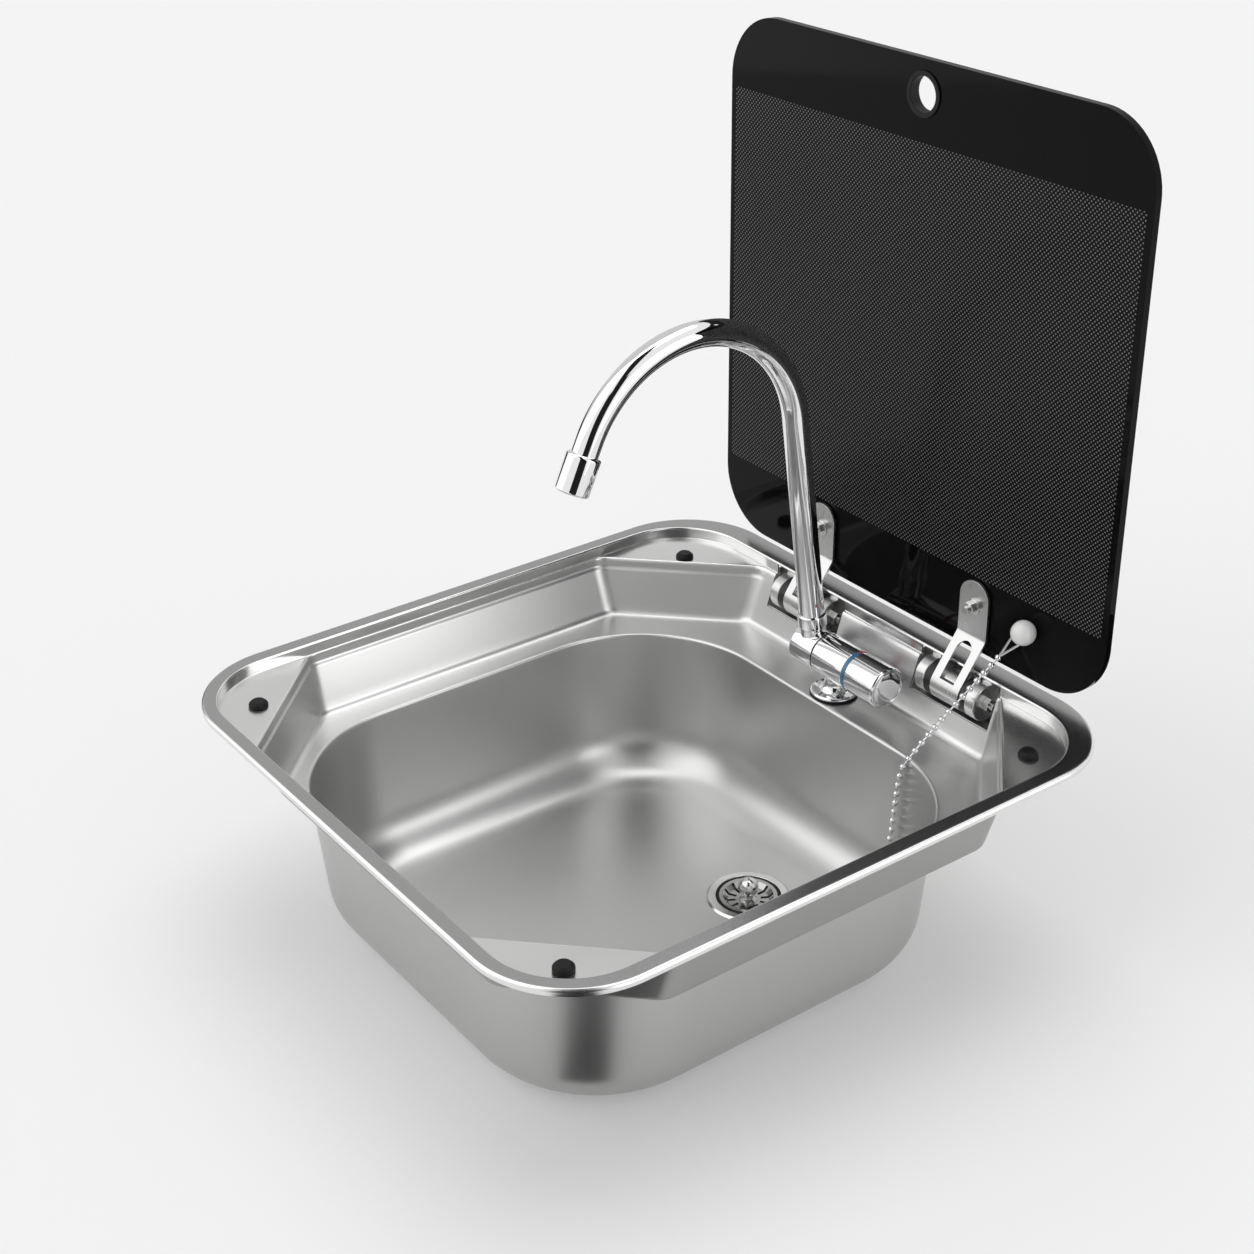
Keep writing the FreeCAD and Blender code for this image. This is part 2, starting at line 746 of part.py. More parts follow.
def build_tap_base():
    gasket_radius = size.tap_flange_radius + size.tap_gasket_margin
    gasket = turned("tap_gasket", ring_profile(
        size.shank_radius + size.seat_gap, gasket_radius, ZERO, size.tap_gasket_height))
    place(gasket, size.tap_x, tap_y, shelf_z)
    hand_in(gasket)
    low = size.tap_gasket_height
    flange_top = low + size.tap_flange_height
    axis_height = size.shelf_drop - size.tap_drop
    edge = size.tap_flange_height * HALF_SHARE
    # the cone draws in quickly above the flange, then slowly up to the neck
    waist = size.tap_neck_radius + (size.tap_cone_radius - size.tap_neck_radius) * CONE_SHARE
    base = turned("tap_base", [
        (ZERO, low),
        (size.tap_flange_radius, low),
        (size.tap_flange_radius, low + edge),
        (size.tap_flange_radius - edge, flange_top),
        (size.tap_cone_radius, flange_top),
        (waist, flange_top + size.tap_cone_height * CONE_SHARE),
        (size.tap_neck_radius, flange_top + size.tap_cone_height),
        (size.tap_neck_radius, axis_height),
        (ZERO, axis_height),
    ])
    saddle = sketch_on(base, "YZ_Plane", -size.tap_radius * 2)
    add_circle(saddle, (ZERO, axis_height), size.tap_radius)
    pocket(base, saddle, size.tap_radius * 4, reverse=True)
    place(base, size.tap_x, tap_y, shelf_z)
    hand_in(base)
    shank_low = low - size.tap_gasket_height - size.shank_length
    shank = turned("tap_shank", [
        (ZERO, shank_low),
        (size.shank_radius, shank_low),
        (size.shank_radius, low),
        (ZERO, low),
    ])
    sockets = sketch_on(shank, "XY_Plane", shank_low)
    socket_radius = size.inlet_spigot_radius + size.running_gap
    for side, sign in SIDES:
        add_circle(sockets, (sign * size.inlet_spacing / 2, ZERO), socket_radius)
    pocket(shank, sockets, size.inlet_socket, reverse=True)
    place(shank, size.tap_x, tap_y, shelf_z)
    hand_in(shank)
    for (side, sign), label in zip(SIDES, ("cold_inlet_tail", "hot_inlet_tail")):
        tail = turned(label, [
            (ZERO, shank_low - size.inlet_length),
            (size.inlet_radius, shank_low - size.inlet_length),
            (size.inlet_radius, shank_low),
            (size.inlet_spigot_radius, shank_low),
            (size.inlet_spigot_radius, shank_low + size.inlet_socket),
            (ZERO, shank_low + size.inlet_socket),
        ])
        place(tail, size.tap_x + sign * size.inlet_spacing / 2, tap_y, shelf_z)
        hand_in(tail)
    bore = size.shank_radius + size.running_gap
    washer_top = -size.sheet_gauge
    washer_low = washer_top - size.tap_washer_height
    washer = turned("tap_washer", ring_profile(bore, size.tap_washer_radius, washer_low, washer_top))
    place(washer, size.tap_x, tap_y, shelf_z)
    hand_in(washer)
    nut = hex_nut("tap_locknut", size.tap_nut_flats, bore, size.tap_nut_height)
    place(nut, size.tap_x, tap_y, shelf_z + washer_low - size.tap_nut_height)
    hand_in(nut)


def build_tap_body():
    left = size.tap_x - size.tap_body_left
    length = size.tap_body_left + size.tap_body_right
    body = turned("tap_body", ring_profile(size.tap_bore_radius, size.tap_radius, ZERO, length))
    hand_in(along_x(body, left))
    right = left + length
    cartridge = turned("mixing_cartridge", ring_profile(
        size.spindle_radius + size.running_gap,
        size.tap_bore_radius - size.running_gap,
        ZERO,
        size.cartridge_length,
    ))
    hand_in(along_x(cartridge, right - size.cartridge_length))
    inner = size.tap_radius - size.band_wall
    for label, sign in (("cold_band", -1), ("hot_band", 1)):
        band = new_body(label)
        sketch = sketch_on(band, "YZ_Plane")
        add_circle(sketch, (ZERO, ZERO), size.tap_radius)
        add_circle(sketch, (ZERO, ZERO), inner)
        pad(band, sketch, size.band_width)
        # the half on the other side of the tap's upright plane is cut away
        half = sketch_on(band, "YZ_Plane", -size.cut_overrun)
        reach = size.tap_radius + size.cut_overrun
        edge_a = ZERO if sign < 0 else -reach
        edge_b = reach if sign < 0 else ZERO
        add_polygon(half, rectangle(edge_a, edge_b, -reach, reach))
        pocket(band, half, size.band_width + size.cut_overrun * 2, reverse=True)
        place(band, right, tap_y, tap_z)
        hand_in(band)
    return right + size.band_width


def build_knob(left):
    inner = size.tap_radius - size.band_wall
    seat = size.running_gap
    end = size.knob_length
    bore = size.spindle_radius
    chamfer = size.knob_chamfer
    cap_low = end - size.knob_cap_height * HALF_SHARE
    knob = turned("tap_knob", [
        (bore, seat),
        (size.tap_radius, seat),
        (size.tap_radius, end - chamfer),
        (size.tap_radius - chamfer, end),
        (size.knob_cap_radius, end),
        (size.knob_cap_radius, cap_low),
        (bore, cap_low),
    ])
    hand_in(along_x(knob, left))
    cap = turned("knob_cap", [
        (ZERO, cap_low),
        (size.knob_cap_radius, cap_low),
        (size.knob_cap_radius, end),
        (size.knob_cap_radius * HALF_SHARE, cap_low + size.knob_cap_height),
        (ZERO, cap_low + size.knob_cap_height),
    ])
    hand_in(along_x(cap, left))
    start = -size.band_width - size.spindle_socket
    spindle = turned("knob_spindle", [
        (ZERO, start),
        (size.spindle_radius, start),
        (size.spindle_radius, size.spindle_length),
        (ZERO, size.spindle_length),
    ])
    hand_in(along_x(spindle, left))


def build_spout():
    right = size.tap_x - size.tap_body_left - size.pivot_seal_width
    left = right - size.pivot_length
    middle = left + size.pivot_length / 2
    spigot_radius = size.tap_bore_radius - size.running_gap
    seal_gap = size.pivot_seal_width
    pivot = turned("spout_pivot", [
        (ZERO, ZERO),
        (size.tap_radius - size.knob_chamfer, ZERO),
        (size.tap_radius, size.knob_chamfer),
        (size.tap_radius, size.pivot_length),
        (spigot_radius, size.pivot_length),
        (spigot_radius, size.pivot_length + seal_gap + size.pivot_spigot_length),
        (ZERO, size.pivot_length + seal_gap + size.pivot_spigot_length),
    ])
    boss = sketch_on(pivot, "YZ_Plane")
    add_circle(boss, (ZERO, size.pivot_length / 2), size.boss_radius)
    # the boss leaves the pivot along its own -X, which points up once the pivot lies along the tap
    pad(pivot, boss, size.boss_length, reverse=True)
    place_spout(pivot, left, lying=True)
    seal = turned("pivot_seal", ring_profile(
        size.tap_bore_radius, size.tap_radius - size.knob_chamfer, ZERO, seal_gap - size.running_gap))
    hand_in(along_x(seal, right + size.running_gap))
    collar_low = size.boss_length + size.running_gap
    collar_edge = size.knob_chamfer * HALF_SHARE
    collar = turned("spout_collar", [
        (ZERO, collar_low),
        (size.collar_radius, collar_low),
        (size.collar_radius, collar_low + size.collar_length - collar_edge),
        (size.collar_radius - collar_edge, collar_low + size.collar_length),
        (size.spout_radius + size.running_gap, collar_low + size.collar_length),
        (size.spout_radius + size.running_gap, collar_low + size.collar_seat),
        (ZERO, collar_low + size.collar_seat),
    ])
    place_spout(collar, middle)
    tube = new_body("spout_tube")
    start = collar_low + size.collar_seat + size.running_gap
    bend = size.riser_length
    radius = size.hook_radius
    hook_y = -radius + radius * cosine(size.hook_angle)
    hook_z = bend + radius * sine(size.hook_angle)
    tail_y = hook_y - size.spout_tail * sine(size.hook_angle)
    tail_z = hook_z + size.spout_tail * cosine(size.hook_angle)
    path = sketch_on(tube, "YZ_Plane")
    riser = add_line(path, (ZERO, start), (ZERO, bend))
    outlet = add_line(path, (hook_y, hook_z), (tail_y, tail_z))
    add_arc(path, riser, outlet, (-radius, bend), radius, 0, size.hook_angle.number)
    section = sketch_on(tube, "XY_Plane", start)
    add_circle(section, (ZERO, ZERO), size.spout_radius)
    add_circle(section, (ZERO, ZERO), size.spout_radius - size.spout_wall)
    doc.recompute()
    sweep = tube.newObject("PartDesign::AdditivePipe", "spout_sweep")
    sweep.Profile = section
    sweep.Spine = (path, ["Edge1", "Edge2", "Edge3"])
    place_spout(tube, middle)
    build_aerator(middle, tail_y, tail_z)


def place_spout(piece, x, lying=False):
    # the spout leans forward about the tap's axis
    upright = FreeCAD.Rotation(FreeCAD.Vector(1, 0, 0), size.spout_lean.number)
    lie = FreeCAD.Rotation(FreeCAD.Vector(0, 1, 0), 90)
    rotation = upright * lie if lying else upright
    piece.Placement = FreeCAD.Placement(FreeCAD.Vector(), rotation)
    for letter, dim in zip("xyz", (x, tap_y, tap_z)):
        bind(piece, f"Placement.Base.{letter}", dim)
    hand_in(piece)


def build_aerator(x, end_y, end_z):
    # the sleeve wraps the last stretch of the spout, the insert closes its mouth
    length = size.aerator_length
    bore = size.spout_radius
    lip = size.aerator_lip
    sleeve = turned("aerator_sleeve", [
        (bore, -length + lip),
        (size.aerator_radius - lip, -length + lip),
        (size.aerator_radius, -length + lip * 2),
        (size.aerator_radius, lip),
        (size.aerator_radius - lip, lip * 2),
        (bore, lip * 2),
    ])
    insert = turned("aerator_insert", [
        (ZERO, ZERO),
        (bore, ZERO),
        (bore, lip),
        (bore - lip, lip),
        (bore - lip, lip * HALF_SHARE),
        (ZERO, lip * HALF_SHARE),
    ])
    lean = size.spout_lean.number
    turn = size.hook_angle.number
    lean_frame = FreeCAD.Rotation(FreeCAD.Vector(1, 0, 0), lean)
    frame = FreeCAD.Rotation(FreeCAD.Vector(1, 0, 0), lean + turn)
    offset = lean_frame.multVec(FreeCAD.Vector(0, end_y.number, end_z.number))
    for piece in (sleeve, insert):
        spot = FreeCAD.Vector(x.number, tap_y.number, tap_z.number) + offset
        piece.Placement = FreeCAD.Placement(spot, frame)
        hand_in(piece)


def build_lid():
    glass = new_body("lid_glass")
    left = size.lid_offset - lid_width / 2
    right = size.lid_offset + lid_width / 2
    high = lid_low_z + lid_height
    sketch = sketch_on(glass, "XZ_Plane", -lid_plane)
    add_rounded_rectangle(sketch, (left, right, lid_low_z, high), size.lid_corner)
    finger = (size.lid_offset, high - size.finger_drop)
    add_circle(sketch, finger, size.grommet_hole_radius)
    for side, sign in SIDES:
        add_circle(sketch, (hinge_centres[side], bolt_z), size.bolt_radius + size.seat_gap)
    pad(glass, sketch, size.lid_gauge, reverse=True)
    hand_in(glass)
    flange = size.grommet_flange
    grommet = turned("finger_grommet", [
        (size.grommet_bore_radius, -flange),
        (size.grommet_radius, -flange),
        (size.grommet_radius, ZERO),
        (size.grommet_hole_radius, ZERO),
        (size.grommet_hole_radius, size.lid_gauge),
        (size.grommet_radius, size.lid_gauge),
        (size.grommet_radius, size.lid_gauge + flange),
        (size.grommet_bore_radius, size.lid_gauge + flange),
    ])
    place(grommet, finger[0], lid_plane, finger[1], axis=(1, 0, 0), turn=as_dim(-90))
    hand_in(grommet)


# Side profile of a lid bracket: straps round the barrel, a leaning leg and a leaf on the glass
leaf_front_y = lid_plane - size.pad_gauge - size.leaf_gauge
leaf_back_y = lid_plane - size.pad_gauge
lean_cos = cosine(size.leaf_lean)
lean_sin = sine(size.leaf_lean)


def leg_point(distance, face_y):
    # where a face of the leg, at its distance from the axle, meets an upright face of the leaf
    run = (face_y - hinge_y + distance * lean_cos) / lean_sin
    return (face_y, hinge_z + distance * lean_sin + run * lean_cos)


def strap_point(distance):
    return (hinge_y - distance * lean_cos, hinge_z + distance * lean_sin)


band_inner = size.band_radius - size.leaf_gauge
bend_z = leg_point(size.band_radius, leaf_front_y)[1]
leaf_top_z = bend_z + size.leaf_top
bolt_z = bend_z + size.leaf_bolt


def build_bracket(side):
    body = new_body(f"{side}_lid_bracket")
    low_x = hinge_centres[side] - size.leaf_width / 2
    straps = sketch_on(body, "YZ_Plane", low_x)
    add_circle(straps, (hinge_y, hinge_z), size.band_radius)
    add_circle(straps, (hinge_y, hinge_z), band_inner)
    pad(body, straps, size.leaf_width)
    leaf = sketch_on(body, "YZ_Plane", low_x)
    add_polygon(leaf, [
        strap_point(size.band_radius),
        leg_point(size.band_radius, leaf_front_y),
        (leaf_front_y, leaf_top_z),
        (leaf_back_y, leaf_top_z),
        leg_point(band_inner, leaf_back_y),
        strap_point(band_inner),
    ])
    leaf_pad = pad(body, leaf, size.leaf_width)
    inner_bend = leg_point(size.band_radius, leaf_front_y)
    outer_bend = leg_point(band_inner, leaf_back_y)
    bend_in = fillet(body, leaf_pad, size.leaf_bend, lambda edge: is_bend(edge, inner_bend))
    bend_out = fillet(body, bend_in, size.leaf_bend + size.leaf_gauge, lambda edge: is_bend(edge, outer_bend))
    corner = size.leaf_width / 2 - size.seat_gap
    fillet(body, bend_out, corner, is_leaf_corner)
    slot = sketch_on(body, "XZ_Plane", -hinge_y - size.leaf_width)
    half = size.leaf_slot_width / 2
    slot_top = hinge_z + size.leaf_slot_reach
    middle = hinge_centres[side]
    # the slot stops where the leg runs onto the barrel, so the barrel stays whole
    low = strap_point(size.band_radius)[1]
    add_polygon(slot, rectangle(middle - half, middle + half, low, slot_top))
    pocket(body, slot, size.leaf_width * 2, reverse=True)
    ends = sketch_on(body, "XZ_Plane", -hinge_y - size.leaf_width)
    add_circle(ends, (middle, slot_top), half)
    add_circle(ends, (middle, bolt_z), size.bolt_radius + size.seat_gap)
    pocket(body, ends, size.leaf_width * 2, reverse=True)
    hand_in(body)


def is_bend(edge, point):
    # an edge along the hinge line through a point of the side profile
    box = edge.BoundBox
    near_y = abs(box.YMin - point[0].number) + abs(box.YMax - point[0].number)
    near_z = abs(box.ZMin - point[1].number) + abs(box.ZMax - point[1].number)
    return near_y + near_z < size.running_gap.number


def is_leaf_corner(edge):
    # the two short edges across the leaf's top corners
    box = edge.BoundBox
    short = abs(box.YLength - size.leaf_gauge.number) < size.running_gap.number
    upright = box.XLength < size.running_gap.number
    return short and upright and box.ZMin > leaf_top_z.number - size.running_gap.number


def build_bracket_fixings():
    pads = []
    bolts = []
    washers = []
    nuts = []
    bore = size.bolt_radius + size.seat_gap
    grip = size.pad_gauge + size.leaf_gauge + size.washer_gauge + size.nut_height + size.bolt_end
    for side, sign in SIDES:
        x = hinge_centres[side]
        pad_disc = turned("bracket_pad", ring_profile(bore, size.pad_radius, ZERO, size.pad_gauge))
        bolt = turned("bracket_bolt", [
            (ZERO, -size.lid_gauge - size.bolt_head_height),
            (size.bolt_head_radius * HALF_SHARE, -size.lid_gauge - size.bolt_head_height),
            (size.bolt_head_radius, -size.lid_gauge),
            (size.bolt_radius, -size.lid_gauge),
            (size.bolt_radius, grip),
            (ZERO, grip),
        ])
        washer_low = size.pad_gauge + size.leaf_gauge
        washer = turned("bracket_washer", ring_profile(
            bore, size.washer_radius, washer_low, washer_low + size.washer_gauge))
        nut = hex_nut("bracket_nut", size.nut_flats, size.bolt_radius, size.nut_height)
        nut_low = washer_low + size.washer_gauge
        for piece, lift in ((pad_disc, ZERO), (bolt, ZERO), (washer, ZERO), (nut, nut_low)):
            place(piece, x, lid_plane - lift, bolt_z, axis=(1, 0, 0), turn=as_dim(90))
        pads.append(pad_disc)
        bolts.append(bolt)
        washers.append(washer)
        nuts.append(nut)
    group("bracket_pads", pads)
    group("bracket_bolts", bolts)
    group("bracket_washers", washers)
    group("bracket_nuts", nuts)


# Stations along the axle, counted out from the middle of a hinge
bush_half = size.leaf_width / 2 + size.seat_gap
ear_start = bush_half + size.friction_washer_gauge
ear_end = ear_start + size.ear_width
axle_half = ear_end + size.nut_height + size.axle_end
window_half = axle_half + size.window_gap


def build_hinge_ears(side):
    # two rounded ears whose arms are welded to the underside of the flange
    middle = hinge_centres[side]
    arm_front = hinge_y + size.arm_start
    ears = []
    for start in (middle - ear_end, middle + ear_start):
        ear = new_body("hinge_ear")
        knuckle = sketch_on(ear, "YZ_Plane", start)
        add_circle(knuckle, (hinge_y, hinge_z), size.band_radius)
        pad(ear, knuckle, size.ear_width)
        arm = sketch_on(ear, "YZ_Plane", start)
        add_polygon(arm, rectangle(arm_front, arm_front + size.arm_depth, hinge_z, flange_under_z))
        pad(ear, arm, size.ear_width)
        bore = sketch_on(ear, "YZ_Plane", start - size.cut_overrun)
        add_circle(bore, (hinge_y, hinge_z), size.axle_radius + size.running_gap)
        pocket(ear, bore, size.ear_width + size.cut_overrun * 2, reverse=True)
        ears.append(ear)
    group(f"{side}_hinge_ears", ears)


def wall_back_y(height):
    # outside of the back wall's leaning stretch at that height
    lean = size.back_wall_lean * (platform_z - height) / (size.shelf_drop - size.platform_drop)
    return wall_top_outline[3] + size.sheet_gauge - lean


def build_hinge_cover(side):
    # a shell behind the window, open to the front and to the flange above
    body = new_body(f"{side}_hinge_cover")
    middle = hinge_centres[side]
    half = window_half
    gauge = size.cover_gauge
    low = rim_top - size.window_drop - gauge
    high = -size.seat_gap
    back = hinge_y + size.band_radius + size.cover_gap
    ledge_under = platform_z - size.sheet_gauge - size.seat_gap
    recess_back = recess_outline[3] + size.sheet_gauge + size.seat_gap
    shell = sketch_on(body, "YZ_Plane", middle - half - gauge)
    add_polygon(shell, [
        (wall_back_y(low) + size.seat_gap, low),
        (back + gauge, low),
        (back + gauge, high),
        (recess_back, high),
        (recess_back, ledge_under),
        (wall_back_y(ledge_under) + size.seat_gap, ledge_under),
    ])
    pad(body, shell, (half + gauge) * 2)
    hollow = sketch_on(body, "YZ_Plane", middle - half)
    front = wall_back_y(low) - size.cut_overrun
    add_polygon(hollow, rectangle(front, back, low + gauge, high + size.cut_overrun))
    pocket(body, hollow, half * 2, reverse=True)
    hand_in(body)


def build_hinge_axles():
    washers = []
    nuts = []
    bore = size.axle_radius + size.running_gap
    for side, sign in SIDES:
        middle = hinge_centres[side]
        axle = turned(f"{side}_hinge_axle", [
            (ZERO, -axle_half),
            (size.axle_radius, -axle_half),
            (size.axle_radius, axle_half),
            (ZERO, axle_half),
        ])
        hand_in(along_x(axle, middle, hinge_y, hinge_z))
        bush_radius = band_inner - size.running_gap
        bush = turned(f"{side}_friction_bush", ring_profile(bore, bush_radius, -bush_half, bush_half))
        hand_in(along_x(bush, middle, hinge_y, hinge_z))
        for low in (-ear_start, bush_half):
            washer = turned("friction_washer", ring_profile(
                bore, size.band_radius, low, low + size.friction_washer_gauge))
            washers.append(along_x(washer, middle, hinge_y, hinge_z))
        for low in (-ear_end - size.nut_height, ear_end):
            nut = hex_nut("hinge_nut", size.nut_flats, size.axle_radius, size.nut_height)
            nuts.append(along_x(nut, middle + low, hinge_y, hinge_z))
    group("friction_washers", washers)
    group("hinge_nuts", nuts)


# Middle of the white ball that holds the chain on the glass
ball_x = size.lid_offset + lid_width / 2 - size.ball_inset
ball_y = lid_plane - size.ball_radius + size.ball_flat
ball_z = rim_top + size.ball_lift

# Route of the bead chain from the link, over the bowl's edge, down to the plug. Each stop after
# the link is counted across from the ball, back from the bowl's edge and down in bowl depths.
CHAIN_STEPS = (
    (-38.4, -3.0),
    (-39.4, -6.4),
    (-39.8, -8.0),
    (-39.6, -10.4),
    (-38.4, -19.5),
    (-35.2, -32.5),
    (-31.0, -52.0),
)
DEPTH_SHARES = (0.0, 0.15, 0.37, 0.59, 0.79, 0.845, 0.82)


def chain_route():
    stops = [(ball_x - size.link_reach_x, ball_y - size.link_reach_y, ball_z - size.link_drop)]
    for (across, back), share in zip(CHAIN_STEPS, DEPTH_SHARES):
        depth = (shelf_z - floor_z) * share
        stops.append((ball_x + across, bowl_outline[3] + back, shelf_z - depth))
    return [FreeCAD.Vector(*(dim.number for dim in stop)) for stop in stops]


def tube_along(stops, radius):
    # straight runs joined by arcs that each take nearly half of the shorter run
    run_share = 0.45
    edges = []
    start = stops[0]
    for index in range(1, len(stops) - 1):
        before = (stops[index] - stops[index - 1])
        after = (stops[index + 1] - stops[index])
        turn = before.getAngle(after)
        reach = run_share * min(before.Length, after.Length)
        bend = reach / math.tan(turn / 2)
        enter = stops[index] - before.normalize() * reach
        leave = stops[index] + after.normalize() * reach
        inward = (after - before).normalize()
        middle = stops[index] + inward * (bend / math.cos(turn / 2) - bend)
        edges.append(Part.LineSegment(start, enter).toShape())
        edges.append(Part.Arc(enter, middle, leave).toShape())
        print("chain bend radius", round(bend, 1))
        start = leave
    edges.append(Part.LineSegment(start, stops[-1]).toShape())
    path = Part.Wire(edges)
    length = path.Length
    direction = stops[1] - stops[0]
    section = Part.Wire([Part.Circle(stops[0], direction, radius).toShape()])
    tube = path.makePipeShell([section], True, False)
    expected = math.pi * radius ** 2 * length
    print("chain length", round(length, 1), "volume share", round(tube.Volume / expected, 4))
    return tube


def build_chain():
    ball = doc.addObject("Part::Sphere", "chain_ball_sphere")
    bind(ball, "Radius", size.ball_radius)
    place(ball, ball_x, ball_y, ball_z)
    flat = doc.addObject("Part::Box", "chain_ball_flat")
    for name in ("Length", "Width", "Height"):
        bind(flat, name, size.ball_radius * 2)
    place(flat, ball_x - size.ball_radius, lid_plane, ball_z - size.ball_radius)
    stay = doc.addObject("Part::Cut", "chain_ball")
    stay.Label = "chain_ball"
    stay.Base = ball
    stay.Tool = flat
    hand_in(stay)
    chain = doc.addObject("Part::Feature", "plug_chain")
    chain.Label = "plug_chain"
    route = chain_route()
    chain.Shape = tube_along(route, size.chain_radius.number)
    hand_in(chain)
    build_chain_link(route)
    build_plug(route[-1])


def build_chain_link(route):
    # a wire triangle: two legs from the ball that meet at the chain
    tip = route[0]
    chain_way = (route[1] - tip).normalize()
    heart = FreeCAD.Vector(ball_x.number, ball_y.number, ball_z.number)
    axis = (tip - heart).normalize()
    side = axis.cross(FreeCAD.Vector(0, 1, 0)).normalize()
    half = size.link_width.number / 2
    wire_radius = size.link_wire_radius.number
    rest = math.sqrt(size.ball_radius.number ** 2 - half ** 2)
    near_tip = tip - chain_way * (wire_radius + size.running_gap.number)
    legs = []
    for sign in (-1, 1):
        foot = heart + axis * rest + side * (half * sign)
        span = near_tip - foot
        leg = Part.makeCylinder(wire_radius, span.Length, foot, span)
        legs.append(leg)
    knot = Part.makeSphere(wire_radius, near_tip)
    wires = legs[0].fuse([legs[1], knot])
    sphere = Part.makeSphere(size.ball_radius.number, heart)
    link = doc.addObject("Part::Feature", "chain_link")
    link.Label = "chain_link"
    link.Shape = wires.cut(sphere)
    hand_in(link)


def build_plug(end):
    # a rubber plug that stands on the bowl's floor, with a wire eye for the chain
    plug = turned("sink_plug", [
        (ZERO, ZERO),
        (size.plug_radius - size.plug_taper, ZERO),
        (size.plug_radius, size.plug_height * HALF_SHARE),
        (size.plug_radius, size.plug_height),
        (ZERO, size.plug_height),
    ])
    plug_x = as_dim(end.x)
    plug_y = as_dim(end.y) - size.plug_eye_radius - size.plug_eye_wire - size.plug_eye_wire
    place(plug, plug_x, plug_y, floor_z + size.seat_gap)
    hand_in(plug)
    eye = doc.addObject("Part::Torus", "plug_eye")
    eye.Label = "plug_eye"
    bind(eye, "Radius1", size.plug_eye_radius)
    bind(eye, "Radius2", size.plug_eye_wire)
    eye_z = floor_z + size.seat_gap + size.plug_height + size.plug_eye_radius + size.plug_eye_wire
    place(eye, plug_x, plug_y, eye_z, axis=(0, 1, 0), turn=as_dim(90))
    hand_in(eye)


def build_all():
    build_basin()
    build_bumpers()
    build_rim_gasket()
    build_waste()
    build_strainer()
    build_tap_base()
    knob_left = build_tap_body()
    build_knob(knob_left)
    build_spout()
    build_lid()
    for side, sign in SIDES:
        build_bracket(side)
        build_hinge_ears(side)
        build_hinge_cover(side)
    build_bracket_fixings()
    build_hinge_axles()
    build_chain()
    doc.recompute()


def check_and_write():
    for item in doc.Objects:
        if "Invalid" in item.State or "Error" in item.State:
            raise RuntimeError(f"{item.Label} did not build: {item.State}")
    for piece in sub_parts:
        shape = piece.Shape
        if shape.isNull() or not shape.isValid() or not shape.Solids:
            raise RuntimeError(f"{piece.Label} has no valid solid")
    os.makedirs("parts", exist_ok=True)
    for piece in sub_parts:
        piece.Shape.exportStep(f"parts/{piece.Label}.step")
        print(piece.Label, len(piece.Shape.Solids), round(piece.Shape.Volume, 1))


build_all()
check_and_write()
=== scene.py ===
import bpy
import bmesh
import math
from mathutils import Matrix, Vector


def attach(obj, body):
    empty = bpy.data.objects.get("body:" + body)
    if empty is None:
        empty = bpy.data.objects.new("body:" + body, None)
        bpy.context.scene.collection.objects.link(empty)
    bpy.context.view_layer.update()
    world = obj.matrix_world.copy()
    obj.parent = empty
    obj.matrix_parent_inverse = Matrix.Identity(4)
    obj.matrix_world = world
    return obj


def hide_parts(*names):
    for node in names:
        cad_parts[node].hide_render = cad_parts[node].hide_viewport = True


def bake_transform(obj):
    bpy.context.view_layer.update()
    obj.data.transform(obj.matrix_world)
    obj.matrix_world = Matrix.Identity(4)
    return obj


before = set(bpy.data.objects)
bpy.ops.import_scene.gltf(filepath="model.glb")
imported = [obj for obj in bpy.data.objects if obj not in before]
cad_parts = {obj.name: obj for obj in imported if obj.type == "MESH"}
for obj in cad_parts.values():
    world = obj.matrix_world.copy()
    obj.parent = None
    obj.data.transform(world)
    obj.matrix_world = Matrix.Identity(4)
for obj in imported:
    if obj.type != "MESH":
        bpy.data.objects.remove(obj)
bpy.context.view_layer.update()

scene = bpy.context.scene
mm = 0.001
mergeGap = 1e-7
print("frame loaded:", len(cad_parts), "nodes")


# general helpers

def vec(x, y, z):
    return Vector((x, y, z)) * mm


def lerp(a, b, t):
    return a + (b - a) * t


def rounding(start, corner, end, t):
    # a point on the curve that cuts a corner
    return start * (1 - t) ** 2 + corner * 2 * t * (1 - t) + end * t * t


def linked(name, data):
    obj = bpy.data.objects.new(name, data)
    scene.collection.objects.link(obj)
    return obj


def meshFrom(name, points, faces, angle=40):
    mesh = bpy.data.meshes.new(name)
    mesh.from_pydata([tuple(p) for p in points], [], faces)
    bm = bmesh.new()
    bm.from_mesh(mesh)
    bmesh.ops.remove_doubles(bm, verts=bm.verts, dist=mergeGap)
    bmesh.ops.recalc_face_normals(bm, faces=bm.faces)
    bm.to_mesh(mesh)
    bm.free()
    return smooth(mesh, angle)


def smooth(mesh, angle):
    mesh.shade_smooth()
    mesh.set_sharp_from_angle(angle=math.radians(angle))
    return mesh


def baked(obj, name, angle=None):
    # modifiers become plain mesh, so nothing live is left on the piece
    depsgraph = bpy.context.evaluated_depsgraph_get()
    mesh = bpy.data.meshes.new_from_object(obj.evaluated_get(depsgraph))
    mesh.name = name
    if angle:
        smooth(mesh, angle)
    obj.modifiers.clear()
    if obj.type == "MESH":
        obj.data = mesh
        return obj
    bpy.data.objects.remove(obj)
    return linked(name, mesh)


def finishPiece(obj, body, material, node):
    obj.data.materials.clear()
    obj.data.materials.append(materials[material])
    if body:
        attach(obj, body)
    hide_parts(node)
    return obj


